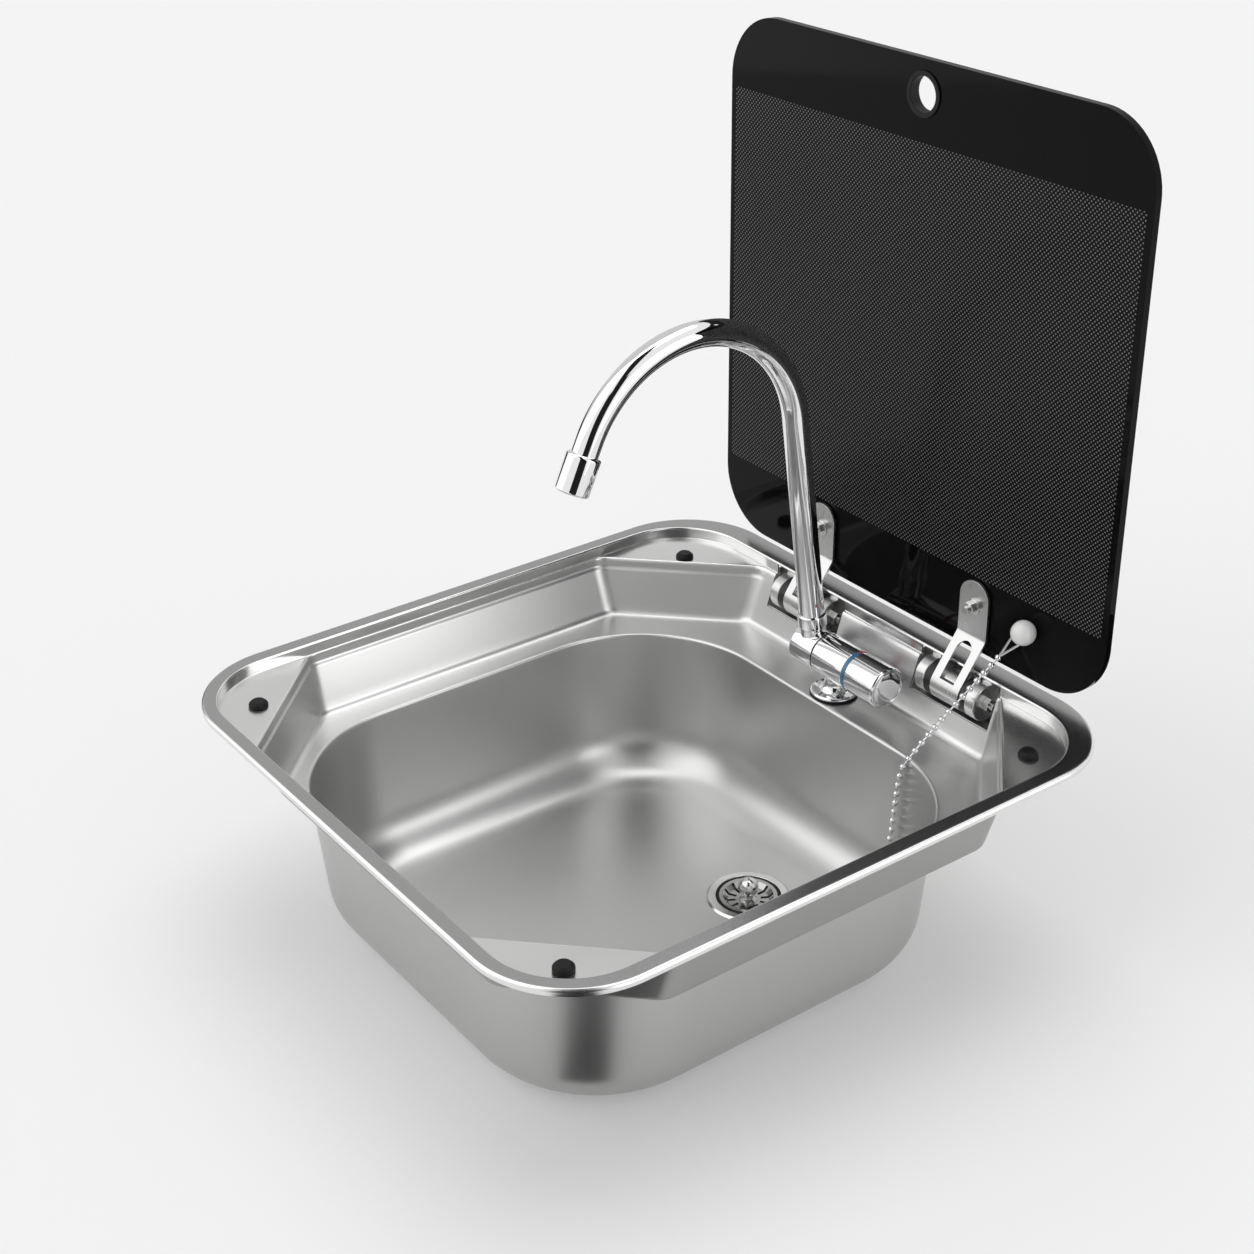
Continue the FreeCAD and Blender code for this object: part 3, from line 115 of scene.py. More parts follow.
def roundedCorners(profile, steps=5):
    # profile rows are (radius, height) or (radius, height, rounding)
    out = []
    count = len(profile)
    for i, row in enumerate(profile):
        here = Vector(row[:2])
        if len(row) < 3 or i in (0, count - 1):
            out.append(here)
            continue
        before = Vector(profile[i - 1][:2]) - here
        after = Vector(profile[i + 1][:2]) - here
        reach = min(row[2], before.length * 0.49, after.length * 0.49)  # two roundings never meet
        a = here + before.normalized() * reach
        b = here + after.normalized() * reach
        for k in range(steps + 1):
            out.append(rounding(a, here, b, k / steps))
    return out


def lathe(name, profile, place, segments=96, closed=False, angle=35):
    # turns a (radius, height) profile in mm about the local Z of place
    rows = roundedCorners(profile)
    points, faces = [], []
    for radius, height in rows:
        for s in range(segments):
            a = 2 * math.pi * s / segments
            points.append(place @ (Vector((radius * math.cos(a), radius * math.sin(a), height)) * mm))
    rowCount = len(rows)
    for r in range(rowCount if closed else rowCount - 1):
        low, high = r * segments, ((r + 1) % rowCount) * segments
        for s in range(segments):
            n = (s + 1) % segments
            faces.append((low + s, low + n, high + n, high + s))
    return linked(name, meshFrom(name, points, faces, angle))


edgeBreak = {
    "mergeGap": 2e-6, "flatDeg": 0.5, "creaseDeg": 32, "bevelDeg": 35, "segments": 2, "faceWeight": 100,
}


def softened(nodeName, name, width):
    # a merged copy of a CAD node with its hard edges broken
    bm = bmesh.new()
    bm.from_mesh(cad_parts[nodeName].data)
    bmesh.ops.remove_doubles(bm, verts=bm.verts, dist=edgeBreak["mergeGap"])
    flat = math.radians(edgeBreak["flatDeg"])
    bmesh.ops.dissolve_limit(bm, angle_limit=flat, verts=bm.verts, edges=bm.edges)
    mesh = bpy.data.meshes.new(name)
    bm.to_mesh(mesh)
    bm.free()
    obj = linked(name, smooth(mesh, edgeBreak["creaseDeg"]))
    bevel = obj.modifiers.new("edgeBreak", "BEVEL")
    bevel.width = width * mm
    bevel.segments = edgeBreak["segments"]
    bevel.limit_method = "ANGLE"
    bevel.angle_limit = math.radians(edgeBreak["bevelDeg"])
    bevel.use_clamp_overlap = True
    # the flat faces keep their own normals, so that large panes mirror without ripples
    flatter = obj.modifiers.new("flatFaces", "WEIGHTED_NORMAL")
    flatter.keep_sharp = True
    flatter.weight = edgeBreak["faceWeight"]
    return baked(obj, name)


# camera at the photograph's angle

# lengths in mm, clip in m
view = {
    "position": (862.4, -635.75, 644.0), "aim": (-88.1, 56.5, 4.0), "rollDeg": -0.81, "lens": 59.88,
    "sensor": 36, "clip": (0.01, 100),
}


def placeCamera():
    data = bpy.data.cameras.new("photoCamera")
    data.sensor_width = view["sensor"]
    data.lens = view["lens"]
    camera = linked("photoCamera", data)
    eye, aim = vec(*view["position"]), vec(*view["aim"])
    ahead = (aim - eye).normalized()
    right = ahead.cross(Vector((0, 0, 1))).normalized()
    up = right.cross(ahead)
    roll = math.radians(view["rollDeg"])
    rolledRight = right * math.cos(roll) + up * math.sin(roll)
    rolledUp = up * math.cos(roll) - right * math.sin(roll)
    turn = Matrix((rolledRight, rolledUp, -ahead)).transposed().to_4x4()
    camera.matrix_world = Matrix.Translation(eye) @ turn
    data.clip_start, data.clip_end = view["clip"]
    scene.camera = camera


placeCamera()
scene.view_settings.view_transform = "Standard"


# materials

# two tints and the range of roughness; stretch turns the grain into brushing, grain and cloud are its scales
finishes = {
    "basinSteel": {
        "dark": (0.606, 0.606, 0.601), "light": (0.622, 0.622, 0.617), "rough": (0.335, 0.35),
        "stretch": (1, 0.12, 1), "grain": 1400, "cloud": 9},
    "brushedSteel": {
        "dark": (0.6, 0.6, 0.595), "light": (0.72, 0.72, 0.715), "rough": (0.24, 0.34),
        "stretch": (1, 1, 0.15), "grain": 1300, "cloud": 20, "bump": 0.05},
    "polishedSteel": {
        "dark": (0.62, 0.62, 0.61), "light": (0.74, 0.74, 0.73), "rough": (0.1, 0.2),
        "grain": 1100, "cloud": 30, "bump": 0.04},
    # painted shade: a darker copy of the polished steel, for the dim reflection in the strainer's dish
    "strainerShadedSteel": {
        "dark": (0.4, 0.4, 0.395), "light": (0.48, 0.48, 0.475), "rough": (0.14, 0.22),
        "grain": 1100, "cloud": 30},
    "chromePlate": {
        "dark": (0.84, 0.84, 0.85), "light": (0.88, 0.88, 0.89), "rough": (0.03, 0.036),
        "grain": 300, "cloud": 40},
    "plainBrass": {
        "dark": (0.55, 0.39, 0.16), "light": (0.7, 0.52, 0.24), "rough": (0.22, 0.38),
        "stretch": (1, 1, 0.2), "grain": 900, "cloud": 25, "bump": 0.06},
    "blackRubber": {
        "dark": (0.003, 0.003, 0.003), "light": (0.007, 0.007, 0.007), "rough": (0.45, 0.6),
        "grain": 1600, "cloud": 60, "bump": 0.1, "metal": 0, "spec": 0.25},
    "blackPlastic": {
        "dark": (0.01, 0.01, 0.011), "light": (0.022, 0.022, 0.024), "rough": (0.32, 0.48),
        "grain": 1500, "cloud": 50, "bump": 0.1, "metal": 0},
    "whitePlastic": {
        "dark": (0.94, 0.94, 0.93), "light": (0.97, 0.97, 0.96), "rough": (0.18, 0.28),
        "grain": 700, "cloud": 40, "metal": 0, "coat": 0.3},
    "blueBand": {
        "dark": (0.03, 0.17, 0.33), "light": (0.045, 0.21, 0.4), "rough": (0.2, 0.3),
        "grain": 900, "cloud": 60, "metal": 0, "coat": 0.4},
    "redBand": {
        "dark": (0.38, 0.015, 0.03), "light": (0.46, 0.025, 0.045), "rough": (0.2, 0.3),
        "grain": 900, "cloud": 60, "metal": 0, "coat": 0.4},
}
# shares of the two noises, the part of their range that is used, and the relief in mm
noiseMix = {"grain": 0.6, "cloud": 0.4, "low": 0.3, "high": 0.7, "reliefDepth": 0.1}


def newMaterial(name):
    mat = bpy.data.materials.new(name)
    mat.use_nodes = True
    return mat, mat.node_tree, nodeOfType(mat.node_tree, "BSDF_PRINCIPLED")


def nodeOfType(tree, kind):
    return next(n for n in tree.nodes if n.type == kind)


def setSockets(shader, **values):
    names = {
        "color": "Base Color", "metal": "Metallic", "rough": "Roughness",
        "coat": "Coat Weight", "spec": "Specular IOR Level",
    }
    for key, value in values.items():
        socket = shader.inputs[names[key]]
        socket.default_value = (*value, 1) if key == "color" else value


def addNode(tree, kind, **settings):
    node = tree.nodes.new(kind)
    for key, value in settings.items():
        setattr(node, key, value)
    return node


def mathNode(tree, operation, *values, **settings):
    # each value is a number or another node's output
    node = addNode(tree, "ShaderNodeMath", operation=operation, **settings)
    for socket, value in zip(node.inputs, values):
        if isinstance(value, (int, float)):
            socket.default_value = value
        else:
            tree.links.new(value, socket)
    return node.outputs[0]


def mixColor(tree, factor, first, second, blend="MIX"):
    # each colour is three numbers or another node's output
    node = addNode(tree, "ShaderNodeMix", data_type="RGBA", blend_type=blend)
    tree.links.new(factor, node.inputs["Factor"])
    for socket, value in ((node.inputs[6], first), (node.inputs[7], second)):
        if isinstance(value, tuple):
            socket.default_value = (*value, 1)
        else:
            tree.links.new(value, socket)
    return node.outputs[2]


def softMask(tree, value, start, end):
    # 0 up to start, 1 from end on
    node = addNode(tree, "ShaderNodeMapRange", interpolation_type="SMOOTHSTEP")
    tree.links.new(value, node.inputs["Value"])
    node.inputs["From Min"].default_value = start
    node.inputs["From Max"].default_value = end
    return node.outputs["Result"]


def makeSurfaceGroup():
    # fine scratches along one direction and slow cloudy changes, shared by the finishes
    group = bpy.data.node_groups.new("metalFinish", "ShaderNodeTree")
    face = group.interface
    for label, kind, value in (
        ("Vector", "NodeSocketVector", None),
        ("Grain Scale", "NodeSocketFloat", 900.0),
        ("Cloud Scale", "NodeSocketFloat", 14.0),
        ("Rough Low", "NodeSocketFloat", 0.25),
        ("Rough High", "NodeSocketFloat", 0.4),
        ("Tint Dark", "NodeSocketColor", (0.55, 0.55, 0.55, 1)),
        ("Tint Light", "NodeSocketColor", (0.65, 0.65, 0.65, 1)),
    ):
        socket = face.new_socket(label, in_out="INPUT", socket_type=kind)
        if value is not None:
            socket.default_value = value
    for label, kind in (("Color", "Color"), ("Roughness", "Float"), ("Height", "Float")):
        face.new_socket(label, in_out="OUTPUT", socket_type="NodeSocket" + kind)
    inp = addNode(group, "NodeGroupInput")
    out = addNode(group, "NodeGroupOutput")
    link = group.links.new
    noises = {}
    for label, detail in (("Grain", 3), ("Cloud", 4)):
        noise = addNode(group, "ShaderNodeTexNoise", noise_dimensions="3D")
        noise.inputs["Detail"].default_value = detail
        link(inp.outputs["Vector"], noise.inputs["Vector"])
        link(inp.outputs[label + " Scale"], noise.inputs["Scale"])
        noises[label] = noise.outputs["Fac"]
    clouds = mathNode(group, "MULTIPLY", noises["Cloud"], noiseMix["cloud"])
    mixed = mathNode(group, "MULTIPLY_ADD", noises["Grain"], noiseMix["grain"], clouds)
    tint = mixColor(group, mixed, inp.outputs["Tint Dark"], inp.outputs["Tint Light"])
    rough = addNode(group, "ShaderNodeMapRange")
    link(mixed, rough.inputs["Value"])
    rough.inputs["From Min"].default_value = noiseMix["low"]
    rough.inputs["From Max"].default_value = noiseMix["high"]
    link(inp.outputs["Rough Low"], rough.inputs["To Min"])
    link(inp.outputs["Rough High"], rough.inputs["To Max"])
    link(tint, out.inputs["Color"])
    link(rough.outputs["Result"], out.inputs["Roughness"])
    link(noises["Grain"], out.inputs["Height"])
    return group


metalFinish = makeSurfaceGroup()


def finishMaterial(name, dark, light, rough, grain, cloud, stretch=(1, 1, 1), bump=0.0, metal=1.0, coat=0.0,
                   spec=0.5):
    mat, tree, shader = newMaterial(name)
    setSockets(shader, metal=metal, coat=coat, spec=spec)
    coords = addNode(tree, "ShaderNodeTexCoord")
    mapping = addNode(tree, "ShaderNodeMapping")
    mapping.inputs["Scale"].default_value = stretch
    finish = addNode(tree, "ShaderNodeGroup", node_tree=metalFinish)
    for label, value in (
        ("Grain Scale", grain), ("Cloud Scale", cloud), ("Rough Low", rough[0]), ("Rough High", rough[1]),
        ("Tint Dark", (*dark, 1)), ("Tint Light", (*light, 1)),
    ):
        finish.inputs[label].default_value = value
    link = tree.links.new
    link(coords.outputs["Object"], mapping.inputs["Vector"])
    link(mapping.outputs["Vector"], finish.inputs["Vector"])
    link(finish.outputs["Color"], shader.inputs["Base Color"])
    link(finish.outputs["Roughness"], shader.inputs["Roughness"])
    if bump:
        relief = addNode(tree, "ShaderNodeBump")
        relief.inputs["Strength"].default_value = bump
        relief.inputs["Distance"].default_value = noiseMix["reliefDepth"] * mm
        link(finish.outputs["Height"], relief.inputs["Height"])
        link(relief.outputs["Normal"], shader.inputs["Normal"])
    return mat


materials = {name: finishMaterial(name, **values) for name, values in finishes.items()}

# painted light and shade on the basin by height in mm: each mask grows between two heights and multiplies the
# colour
basinZones = {
    "wall": (-47.0, -40.0), "rim": (-6.0, -3.0), "flange": (3.7, 3.95),
    # painted light above 1 and painted shade below 1: the flange darkened for the dark lid it mirrors, the
    # outside and its upper band for the shadowed floor they mirror
    "tones": {"within": 1.2, "rim": 1.08, "flange": 0.55, "outside": 0.88, "band": 0.76},
    "rimRough": -0.12, "outsideRough": 0.06,
}


def zoneBasinSteel():
    # walls and platforms lighter with painted light, the rim smoother, the flange and the outside darker with
    # painted shade
    tree = materials["basinSteel"].node_tree
    shader, finish = nodeOfType(tree, "BSDF_PRINCIPLED"), nodeOfType(tree, "GROUP")
    split = addNode(tree, "ShaderNodeSeparateXYZ")
    tree.links.new(nodeOfType(tree, "TEX_COORD").outputs["Object"], split.inputs[0])
    masks = {"outside": addNode(tree, "ShaderNodeAttribute", attribute_name="outside").outputs["Fac"]}
    for name in ("wall", "rim", "flange"):
        masks[name] = softMask(tree, split.outputs["Z"], *(z * mm for z in basinZones[name]))
    masks["within"] = mathNode(tree, "SUBTRACT", masks["wall"], masks["outside"], use_clamp=True)
    masks["band"] = mathNode(tree, "MULTIPLY", masks["wall"], masks["outside"])
    rough, color = finish.outputs["Roughness"], finish.outputs["Color"]
    for name in ("outside", "rim"):
        rough = mathNode(tree, "MULTIPLY_ADD", masks[name], basinZones[name + "Rough"], rough)
    # paints the light and shade into the steel's colour
    for name, tone in basinZones["tones"].items():
        color = mixColor(tree, masks[name], color, (tone, tone, tone), "MULTIPLY")
    tree.links.new(rough, shader.inputs["Roughness"])
    tree.links.new(color, shader.inputs["Base Color"])


zoneBasinSteel()

# black glass: plain glossy bands at both ends and a fine dot print between them, on the inner face only
lidPrint = {
    "x": 6.0, "halfWidth": 168.5, "low": 60.0, "high": 313.0, "plane": 202.3, "depth": 0.4,
    "pitch": 3.0, "dot": 0.23, "dotCore": 0.5, "spec": 0.08,
    "bandColor": (0.004, 0.004, 0.0045), "panelColor": (0.003, 0.003, 0.0033),
    "dotColor": (0.19, 0.19, 0.192),
    "smudgeScale": 18, "smudgeRough": 0.05, "bandRough": 0.03, "panelRough": 0.2,
    "cellShift": 1000.0,  # whole cells, so that no cell number is negative
}


def makeLidGlass():
    p = lidPrint
    mat, tree, shader = newMaterial("printedGlass")
    setSockets(shader, metal=0.0, coat=0.0, spec=p["spec"])
    link = tree.links.new
    coords = addNode(tree, "ShaderNodeTexCoord")
    split = addNode(tree, "ShaderNodeSeparateXYZ")
    link(coords.outputs["Object"], split.inputs[0])

    def calc(operation, *values):
        return mathNode(tree, operation, *values)

    def fromCellMiddle(cells):
        return calc("SUBTRACT", calc("FRACT", calc("ADD", cells, p["cellShift"])), 0.5)

    x, y, z = (split.outputs[i] for i in range(3))
    fromMiddle = calc("ABSOLUTE", calc("SUBTRACT", x, p["x"] * mm))
    inWidth = calc("LESS_THAN", fromMiddle, p["halfWidth"] * mm)
    above = calc("GREATER_THAN", z, p["low"] * mm)
    below = calc("LESS_THAN", z, p["high"] * mm)
    inner = calc("LESS_THAN", y, (p["plane"] + p["depth"]) * mm)
    panel = calc("MULTIPLY", calc("MULTIPLY", inWidth, inner), calc("MULTIPLY", above, below))
    # staggered rows of dots, two rows to a pitch
    pitch = p["pitch"] * mm
    row = calc("DIVIDE", z, pitch * 0.5)
    odd = calc("MODULO", calc("ABSOLUTE", calc("FLOOR", row)), 2.0)
    across = calc("MULTIPLY_ADD", odd, 0.5, calc("DIVIDE", x, pitch))
    du = fromCellMiddle(across)
    dv = calc("MULTIPLY", fromCellMiddle(row), 0.5)
    gap = calc("SQRT", calc("ADD", calc("MULTIPLY", du, du), calc("MULTIPLY", dv, dv)))
    dots = calc("MULTIPLY", panel, softMask(tree, gap, p["dot"], p["dot"] * p["dotCore"]))
    ground = mixColor(tree, panel, p["bandColor"], p["panelColor"])
    link(mixColor(tree, dots, ground, p["dotColor"]), shader.inputs["Base Color"])
    smudge = addNode(tree, "ShaderNodeTexNoise")
    smudge.inputs["Scale"].default_value = p["smudgeScale"]
    link(coords.outputs["Object"], smudge.inputs["Vector"])
    plain = calc("MULTIPLY_ADD", smudge.outputs["Fac"], p["smudgeRough"], p["bandRough"])
    link(calc("MULTIPLY_ADD", panel, p["panelRough"], plain), shader.inputs["Roughness"])
    return mat


materials["printedGlass"] = makeLidGlass()
print("materials made:", len(materials))


# basin: one pressed sheet, lofted through rings from the turned-down edge to the waste hole

basin = {
    # rings are boxes as left, right, front and back; the rows called support hold the bend beside them
    "rim": (-205.0, 205.0, -210.0, 210.0), "rimCorner": 62.0, "rimTop": 4.0, "rimRoll": 2.5, "rimFold": 0.7,
    "rimSupport": 1.0, "recess": (-193.5, 193.5, -200.0, 192.0), "recessCorner": 50.0, "recessEdge": 1.5,
    "recessSupport": 0.8, "platformZ": -4.0, "platformFoot": 0.7, "platformSupport": 1.0, "sideFoot": 0.2,
    "platformRound": 1.1, "sideRound": 0.3, "platformEdge": 2.4, "edgeSupport": 0.1,
    "ledge": 2.0, "sideLedge": 0.6, "cut": 79.0, "bend": 6.0, "windowBend": 1.4,
    "shelfZ": -43.0, "sideLean": 10.5, "frontLean": 16.0, "backLean": 12.5, "cornerLean": 8.0,
    "wallFoot": 4.0, "frontFoot": 3.0, "stepZ": -11.0, "stepIn": 1.2, "stepSpread": 3.0, "stepReach": 2.0,
    "bowl": (-162.0, 162.0, -174.5, 144.0), "bowlCorner": 90.0, "bowlLean": 9.0, "bowlEdge": 1.8,
    "bowlSupport": 0.5, "floorZ": -143.0, "floorRound": 30.0, "floorSupport": 2.0,
    "drain": (30.0, 63.0), "drainHole": 23.05, "drainShares": (0.35, 0.7, 0.92, 1.0), "gauge": 1.0,
    "hinges": (-64.5, 76.5), "windowHalf": 34.3, "windowLow": -26.0, "windowSlack": 0.1, "backHalf": 112.5,
    "sideColumns": 14, "cornerColumns": 24, "windowColumns": 8, "creaseDeg": 38,
    "rows": {"rimRoll": 6, "recessEdge": 5, "platformFoot": 4, "platformEdge": 6, "step": 8, "window": 4,
             "lowWall": 3, "wallFoot": 8, "bowlEdge": 6, "bowlWall": 6, "floorRound": 14},
}


def roundRing(box, radius):
    return {"box": box, "radius": radius, "cuts": None}


def cutRing(box, cutFront, cutBack, soft):
    return {"box": box, "radius": soft, "cuts": (cutFront, cutBack)}


def inset(ring, d, front=None, side=None, corner=None):
    # front, side and corner have their own inset where they differ
    front, side, corner = (d if own is None else own for own in (front, side, corner))
    x0, x1, y0, y1 = ring["box"]
    box = (x0 + side, x1 - side, y0 + front, y1 - d)
    if ring["cuts"]:
        slant = math.sqrt(2) * corner - side
        cuts = (ring["cuts"][0] + slant - front, ring["cuts"][1] + slant - d)
        return cutRing(box, *cuts, ring["radius"])
    return roundRing(box, ring["radius"] - d)


def between(a, b, t):
    # a round ring part of the way from one to another
    box = tuple(lerp(p, q, t) for p, q in zip(a["box"], b["box"]))
    return roundRing(box, lerp(a["radius"], b["radius"], t))


def cornerRun(ring, index, start, end, corner, count):
    # the points of one corner, without its two ends
    out = []
    if ring["cuts"]:
        # a slanted side with a bend at each end
        a, b = corner
        ahead = (b - a).normalized()
        slantStart, slantEnd = a + ahead * (a - start).length, b - ahead * (end - b).length
        quarter = count // 4
        for k in range(1, count):
            if k <= quarter:
                out.append(rounding(start, a, slantStart, k / quarter))
            elif k >= count - quarter:
                out.append(rounding(slantEnd, b, end, (k - (count - quarter)) / quarter))
            else:
                out.append(slantStart.lerp(slantEnd, (k - quarter) / (count - 2 * quarter)))
        return out
    for k in range(1, count):
        a = math.radians(-90 + 90 * index + 90 * k / count)
        out.append(corner[0] + Vector((math.cos(a), math.sin(a))) * ring["radius"])
    return out


def backStations():
    edges = []
    for middle in basin["hinges"]:
        edges += [middle - basin["windowHalf"], middle + basin["windowHalf"]]
    stations = []
    parts = basin["windowColumns"]
    for a, b in zip(edges[:-1], edges[1:]):
        stations += [lerp(a, b, k / parts) for k in range(parts)]
    stations.append(edges[-1])
    return stations[::-1]  # the back side runs from right to left


def ringPoints(ring, z, fixedBack):
    x0, x1, y0, y1 = ring["box"]
    n, m = basin["sideColumns"], basin["cornerColumns"]
    r = ring["radius"]
    if ring["cuts"]:
        f, b = ring["cuts"]
        near, far, farRight = f + r, b + r, b + min(r, basin["windowBend"])
        corners = [
            (Vector((x1 - f, y0)), Vector((x1, y0 + f))),
            (Vector((x1, y1 - b)), Vector((x1 - b, y1))),
            (Vector((x0 + b, y1)), Vector((x0, y1 - b))),
            (Vector((x0, y0 + f)), Vector((x0 + f, y0))),
        ]
    else:
        near = far = farRight = r
        corners = [
            (Vector((x1 - r, y0 + r)),), (Vector((x1 - r, y1 - r)),),
            (Vector((x0 + r, y1 - r)),), (Vector((x0 + r, y0 + r)),),
        ]
    sides = [
        (Vector((x0 + near, y0)), Vector((x1 - near, y0))),
        (Vector((x1, y0 + near)), Vector((x1, y1 - far))),
        (Vector((x1 - farRight, y1)), Vector((x0 + far, y1))),
        (Vector((x0, y1 - far)), Vector((x0, y0 + near))),
    ]
    flat = []
    for i in range(4):
        a, b = sides[i]
        if i == 2:
            flat.append(a)
            half = basin["backHalf"]
            for x in backStations():
                t = (half - x) / (2 * half)
                flat.append(Vector((x, y1)) if fixedBack else a.lerp(b, t))
            flat.append(b)
        else:
            flat += [a.lerp(b, k / n) for k in range(n + 1)]
        flat += cornerRun(ring, i, b, sides[(i + 1) % 4][0], corners[i], m)
    return [(p.x, p.y, z) for p in flat]


def drainRing(reference, radius, z):
    # the waste hole's circle, each point towards the matching point of the ring around it
    cx, cy = basin["drain"]
    out = []
    for x, y, _ in reference:
        a = math.atan2(y - cy, x - cx)
        out.append((cx + radius * math.cos(a), cy + radius * math.sin(a), z))
    return out


def basinRows():
    p = basin
    rim = roundRing(p["rim"], p["rimCorner"])
    recess = roundRing(p["recess"], p["recessCorner"])
    x0, x1, y0, y1 = inset(recess, p["ledge"])["box"]
    bowlTop = roundRing(p["bowl"], p["bowlCorner"])
    bowlFoot = inset(bowlTop, p["bowlLean"])
    rows = []

    def add(ring, z, fixed=True):
        rows.append(ringPoints(ring, z, fixed))

    def shares(name):
        return [k / p["rows"][name] for k in range(1, p["rows"][name] + 1)]

    def arc(name):
        return [math.radians(90 * t) for t in shares(name)]

    top, r = p["rimTop"], p["rimRoll"]
    add(rim, 0.0)
    add(rim, p["rimFold"])
    add(rim, top - r)
    for a in arc("rimRoll"):
        add(inset(rim, r * (1 - math.cos(a))), top - r + r * math.sin(a))
    e = p["recessEdge"]
    add(inset(rim, r + p["rimSupport"]), top)
    add(inset(recess, -e - p["recessSupport"]), top)
    add(inset(recess, -e), top)
    for a in arc("recessEdge"):
        add(inset(recess, -e + e * math.sin(a)), top - e * (1 - math.cos(a)))
    platform, foot, shelf = p["platformZ"], p["platformFoot"], p["shelfZ"]
    edge, tall, sideRound = p["platformRound"], p["platformEdge"], p["sideRound"]
    windowFrom = len(rows) - 1
    add(recess, platform + foot + p["platformSupport"])
    add(recess, platform + foot)
    for a in arc("platformFoot"):
        inwards = 1 - math.cos(a)
        ring = inset(recess, foot * inwards, side=p["sideFoot"] * inwards)
        add(ring, platform + foot * (1 - math.sin(a)))

    def wallRing(z):
        # front and back lean from the platform down, sides and corners stand upright above a soft step
        share = (platform - z) / (platform - shelf)
        below = max(0.0, (p["stepZ"] - z) / (p["stepZ"] - shelf))
        near = min(1.0, max(0.0, (p["stepZ"] - z) / p["stepSpread"] + 0.5))
        step = p["stepIn"] * near * near * (3 - 2 * near)
        side, corner = (step + (p[lean] - p["stepIn"]) * below for lean in ("sideLean", "cornerLean"))
        side -= (p["ledge"] - p["sideLedge"]) * (1 - below)
        front, back = p["frontLean"] * share, p["backLean"] * share
        spread = p["cut"] + corner * math.sqrt(2) - side
        box = (x0 + side, x1 - side, y0 + front, y1 - back)
        return cutRing(box, spread - front, spread - back, p["bend"])

    def wall(z, d=0.0, front=None, side=None, corner=None):
        add(inset(wallRing(z), d, front, side, corner), z, z > p["windowLow"] - p["windowSlack"])

    wall(platform, -edge - p["edgeSupport"], side=-sideRound, corner=-tall - p["edgeSupport"])
    for a in arc("platformEdge"):
        out = math.sin(a) - 1
        wall(platform - tall * (1 - math.cos(a)), edge * out, side=sideRound * out, corner=tall * out)
    reach = p["stepReach"]
    for t in (0.0, *shares("step")):
        wall(p["stepZ"] + lerp(reach, -reach, t))
    for t in shares("window"):
        wall(lerp(p["stepZ"] - reach, p["windowLow"], t))
    windowTo = len(rows) - 1
    w = p["wallFoot"]
    for t in shares("lowWall"):
        wall(lerp(p["windowLow"], shelf + w, t))
    for a in arc("wallFoot"):
        wall(shelf + w * (1 - math.sin(a)), w * (1 - math.cos(a)), p["frontFoot"] * (1 - math.cos(a)))
    b = p["bowlEdge"]
    add(inset(bowlTop, -b - p["bowlSupport"]), shelf, False)
    add(inset(bowlTop, -b), shelf, False)
    floor, f = p["floorZ"], p["floorRound"]

    def bowlWall(z, d=0.0):
        add(inset(between(bowlTop, bowlFoot, (shelf - z) / (shelf - floor)), d), z, False)

    for a in arc("bowlEdge"):
        bowlWall(shelf - b * (1 - math.cos(a)), -b + b * math.sin(a))
    for t in shares("bowlWall"):
        bowlWall(lerp(shelf - b, floor + f, t))
    for a in arc("floorRound"):
        bowlWall(floor + f * (1 - math.sin(a)), f * (1 - math.cos(a)))
    bowlWall(floor, f + p["floorSupport"])
    outer = rows[-1]
    hole = drainRing(outer, p["drainHole"], floor)
    for t in p["drainShares"]:
        rows.append([tuple(lerp(q, h, t) for q, h in zip(a, c)) for a, c in zip(outer, hole)])
    return rows, windowFrom, windowTo


def buildBasin():
    rows, windowFrom, windowTo = basinRows()
    columns = len(rows[0])
    points = [Vector(p) * mm for row in rows for p in row]
    n, m = basin["sideColumns"], basin["cornerColumns"]
    backStart = 2 * (n + 1) + 2 * (m - 1)
    stations = backStations()
    openColumns = set()
    for middle in basin["hinges"]:
        for i, (a, b) in enumerate(zip(stations[:-1], stations[1:])):
            if abs((a + b) / 2 - middle) < basin["windowHalf"]:
                openColumns.add(backStart + 1 + i)
    faces = []
    for r in range(len(rows) - 1):
        for c in range(columns):
            if windowFrom <= r < windowTo and c in openColumns:
                continue
            d = (c + 1) % columns
            faces.append((r * columns + c, r * columns + d, (r + 1) * columns + d, (r + 1) * columns + c))
    mesh = bpy.data.meshes.new("pressedBasin")
    mesh.from_pydata([tuple(q) for q in points], [], faces)
    bm = bmesh.new()
    bm.from_mesh(mesh)
    loose = [v for v in bm.verts if not v.link_faces]
    bmesh.ops.delete(bm, geom=loose, context="VERTS")
    bmesh.ops.remove_doubles(bm, verts=bm.verts, dist=mergeGap)
    bm.to_mesh(mesh)
    bm.free()
    obj = linked("pressedBasin", mesh)
    innerCount = len(mesh.vertices)
    solid = obj.modifiers.new("sheet", "SOLIDIFY")
    solid.thickness = basin["gauge"] * mm
    solid.offset = -1
    solid.use_even_offset = True
    baked(obj, "pressedBasin", angle=basin["creaseDeg"])
    # marks the back of the sheet, which is darkened with painted shade
    outside = obj.data.attributes.new("outside", "FLOAT", "POINT")
    for i in range(innerCount, len(obj.data.vertices)):
        outside.data[i].value = 1.0
    finishPiece(obj, "basin", "basinSteel", "sink_basin")


buildBasin()
print("basin made")


# tap: lying body on its base, knob, folding spout

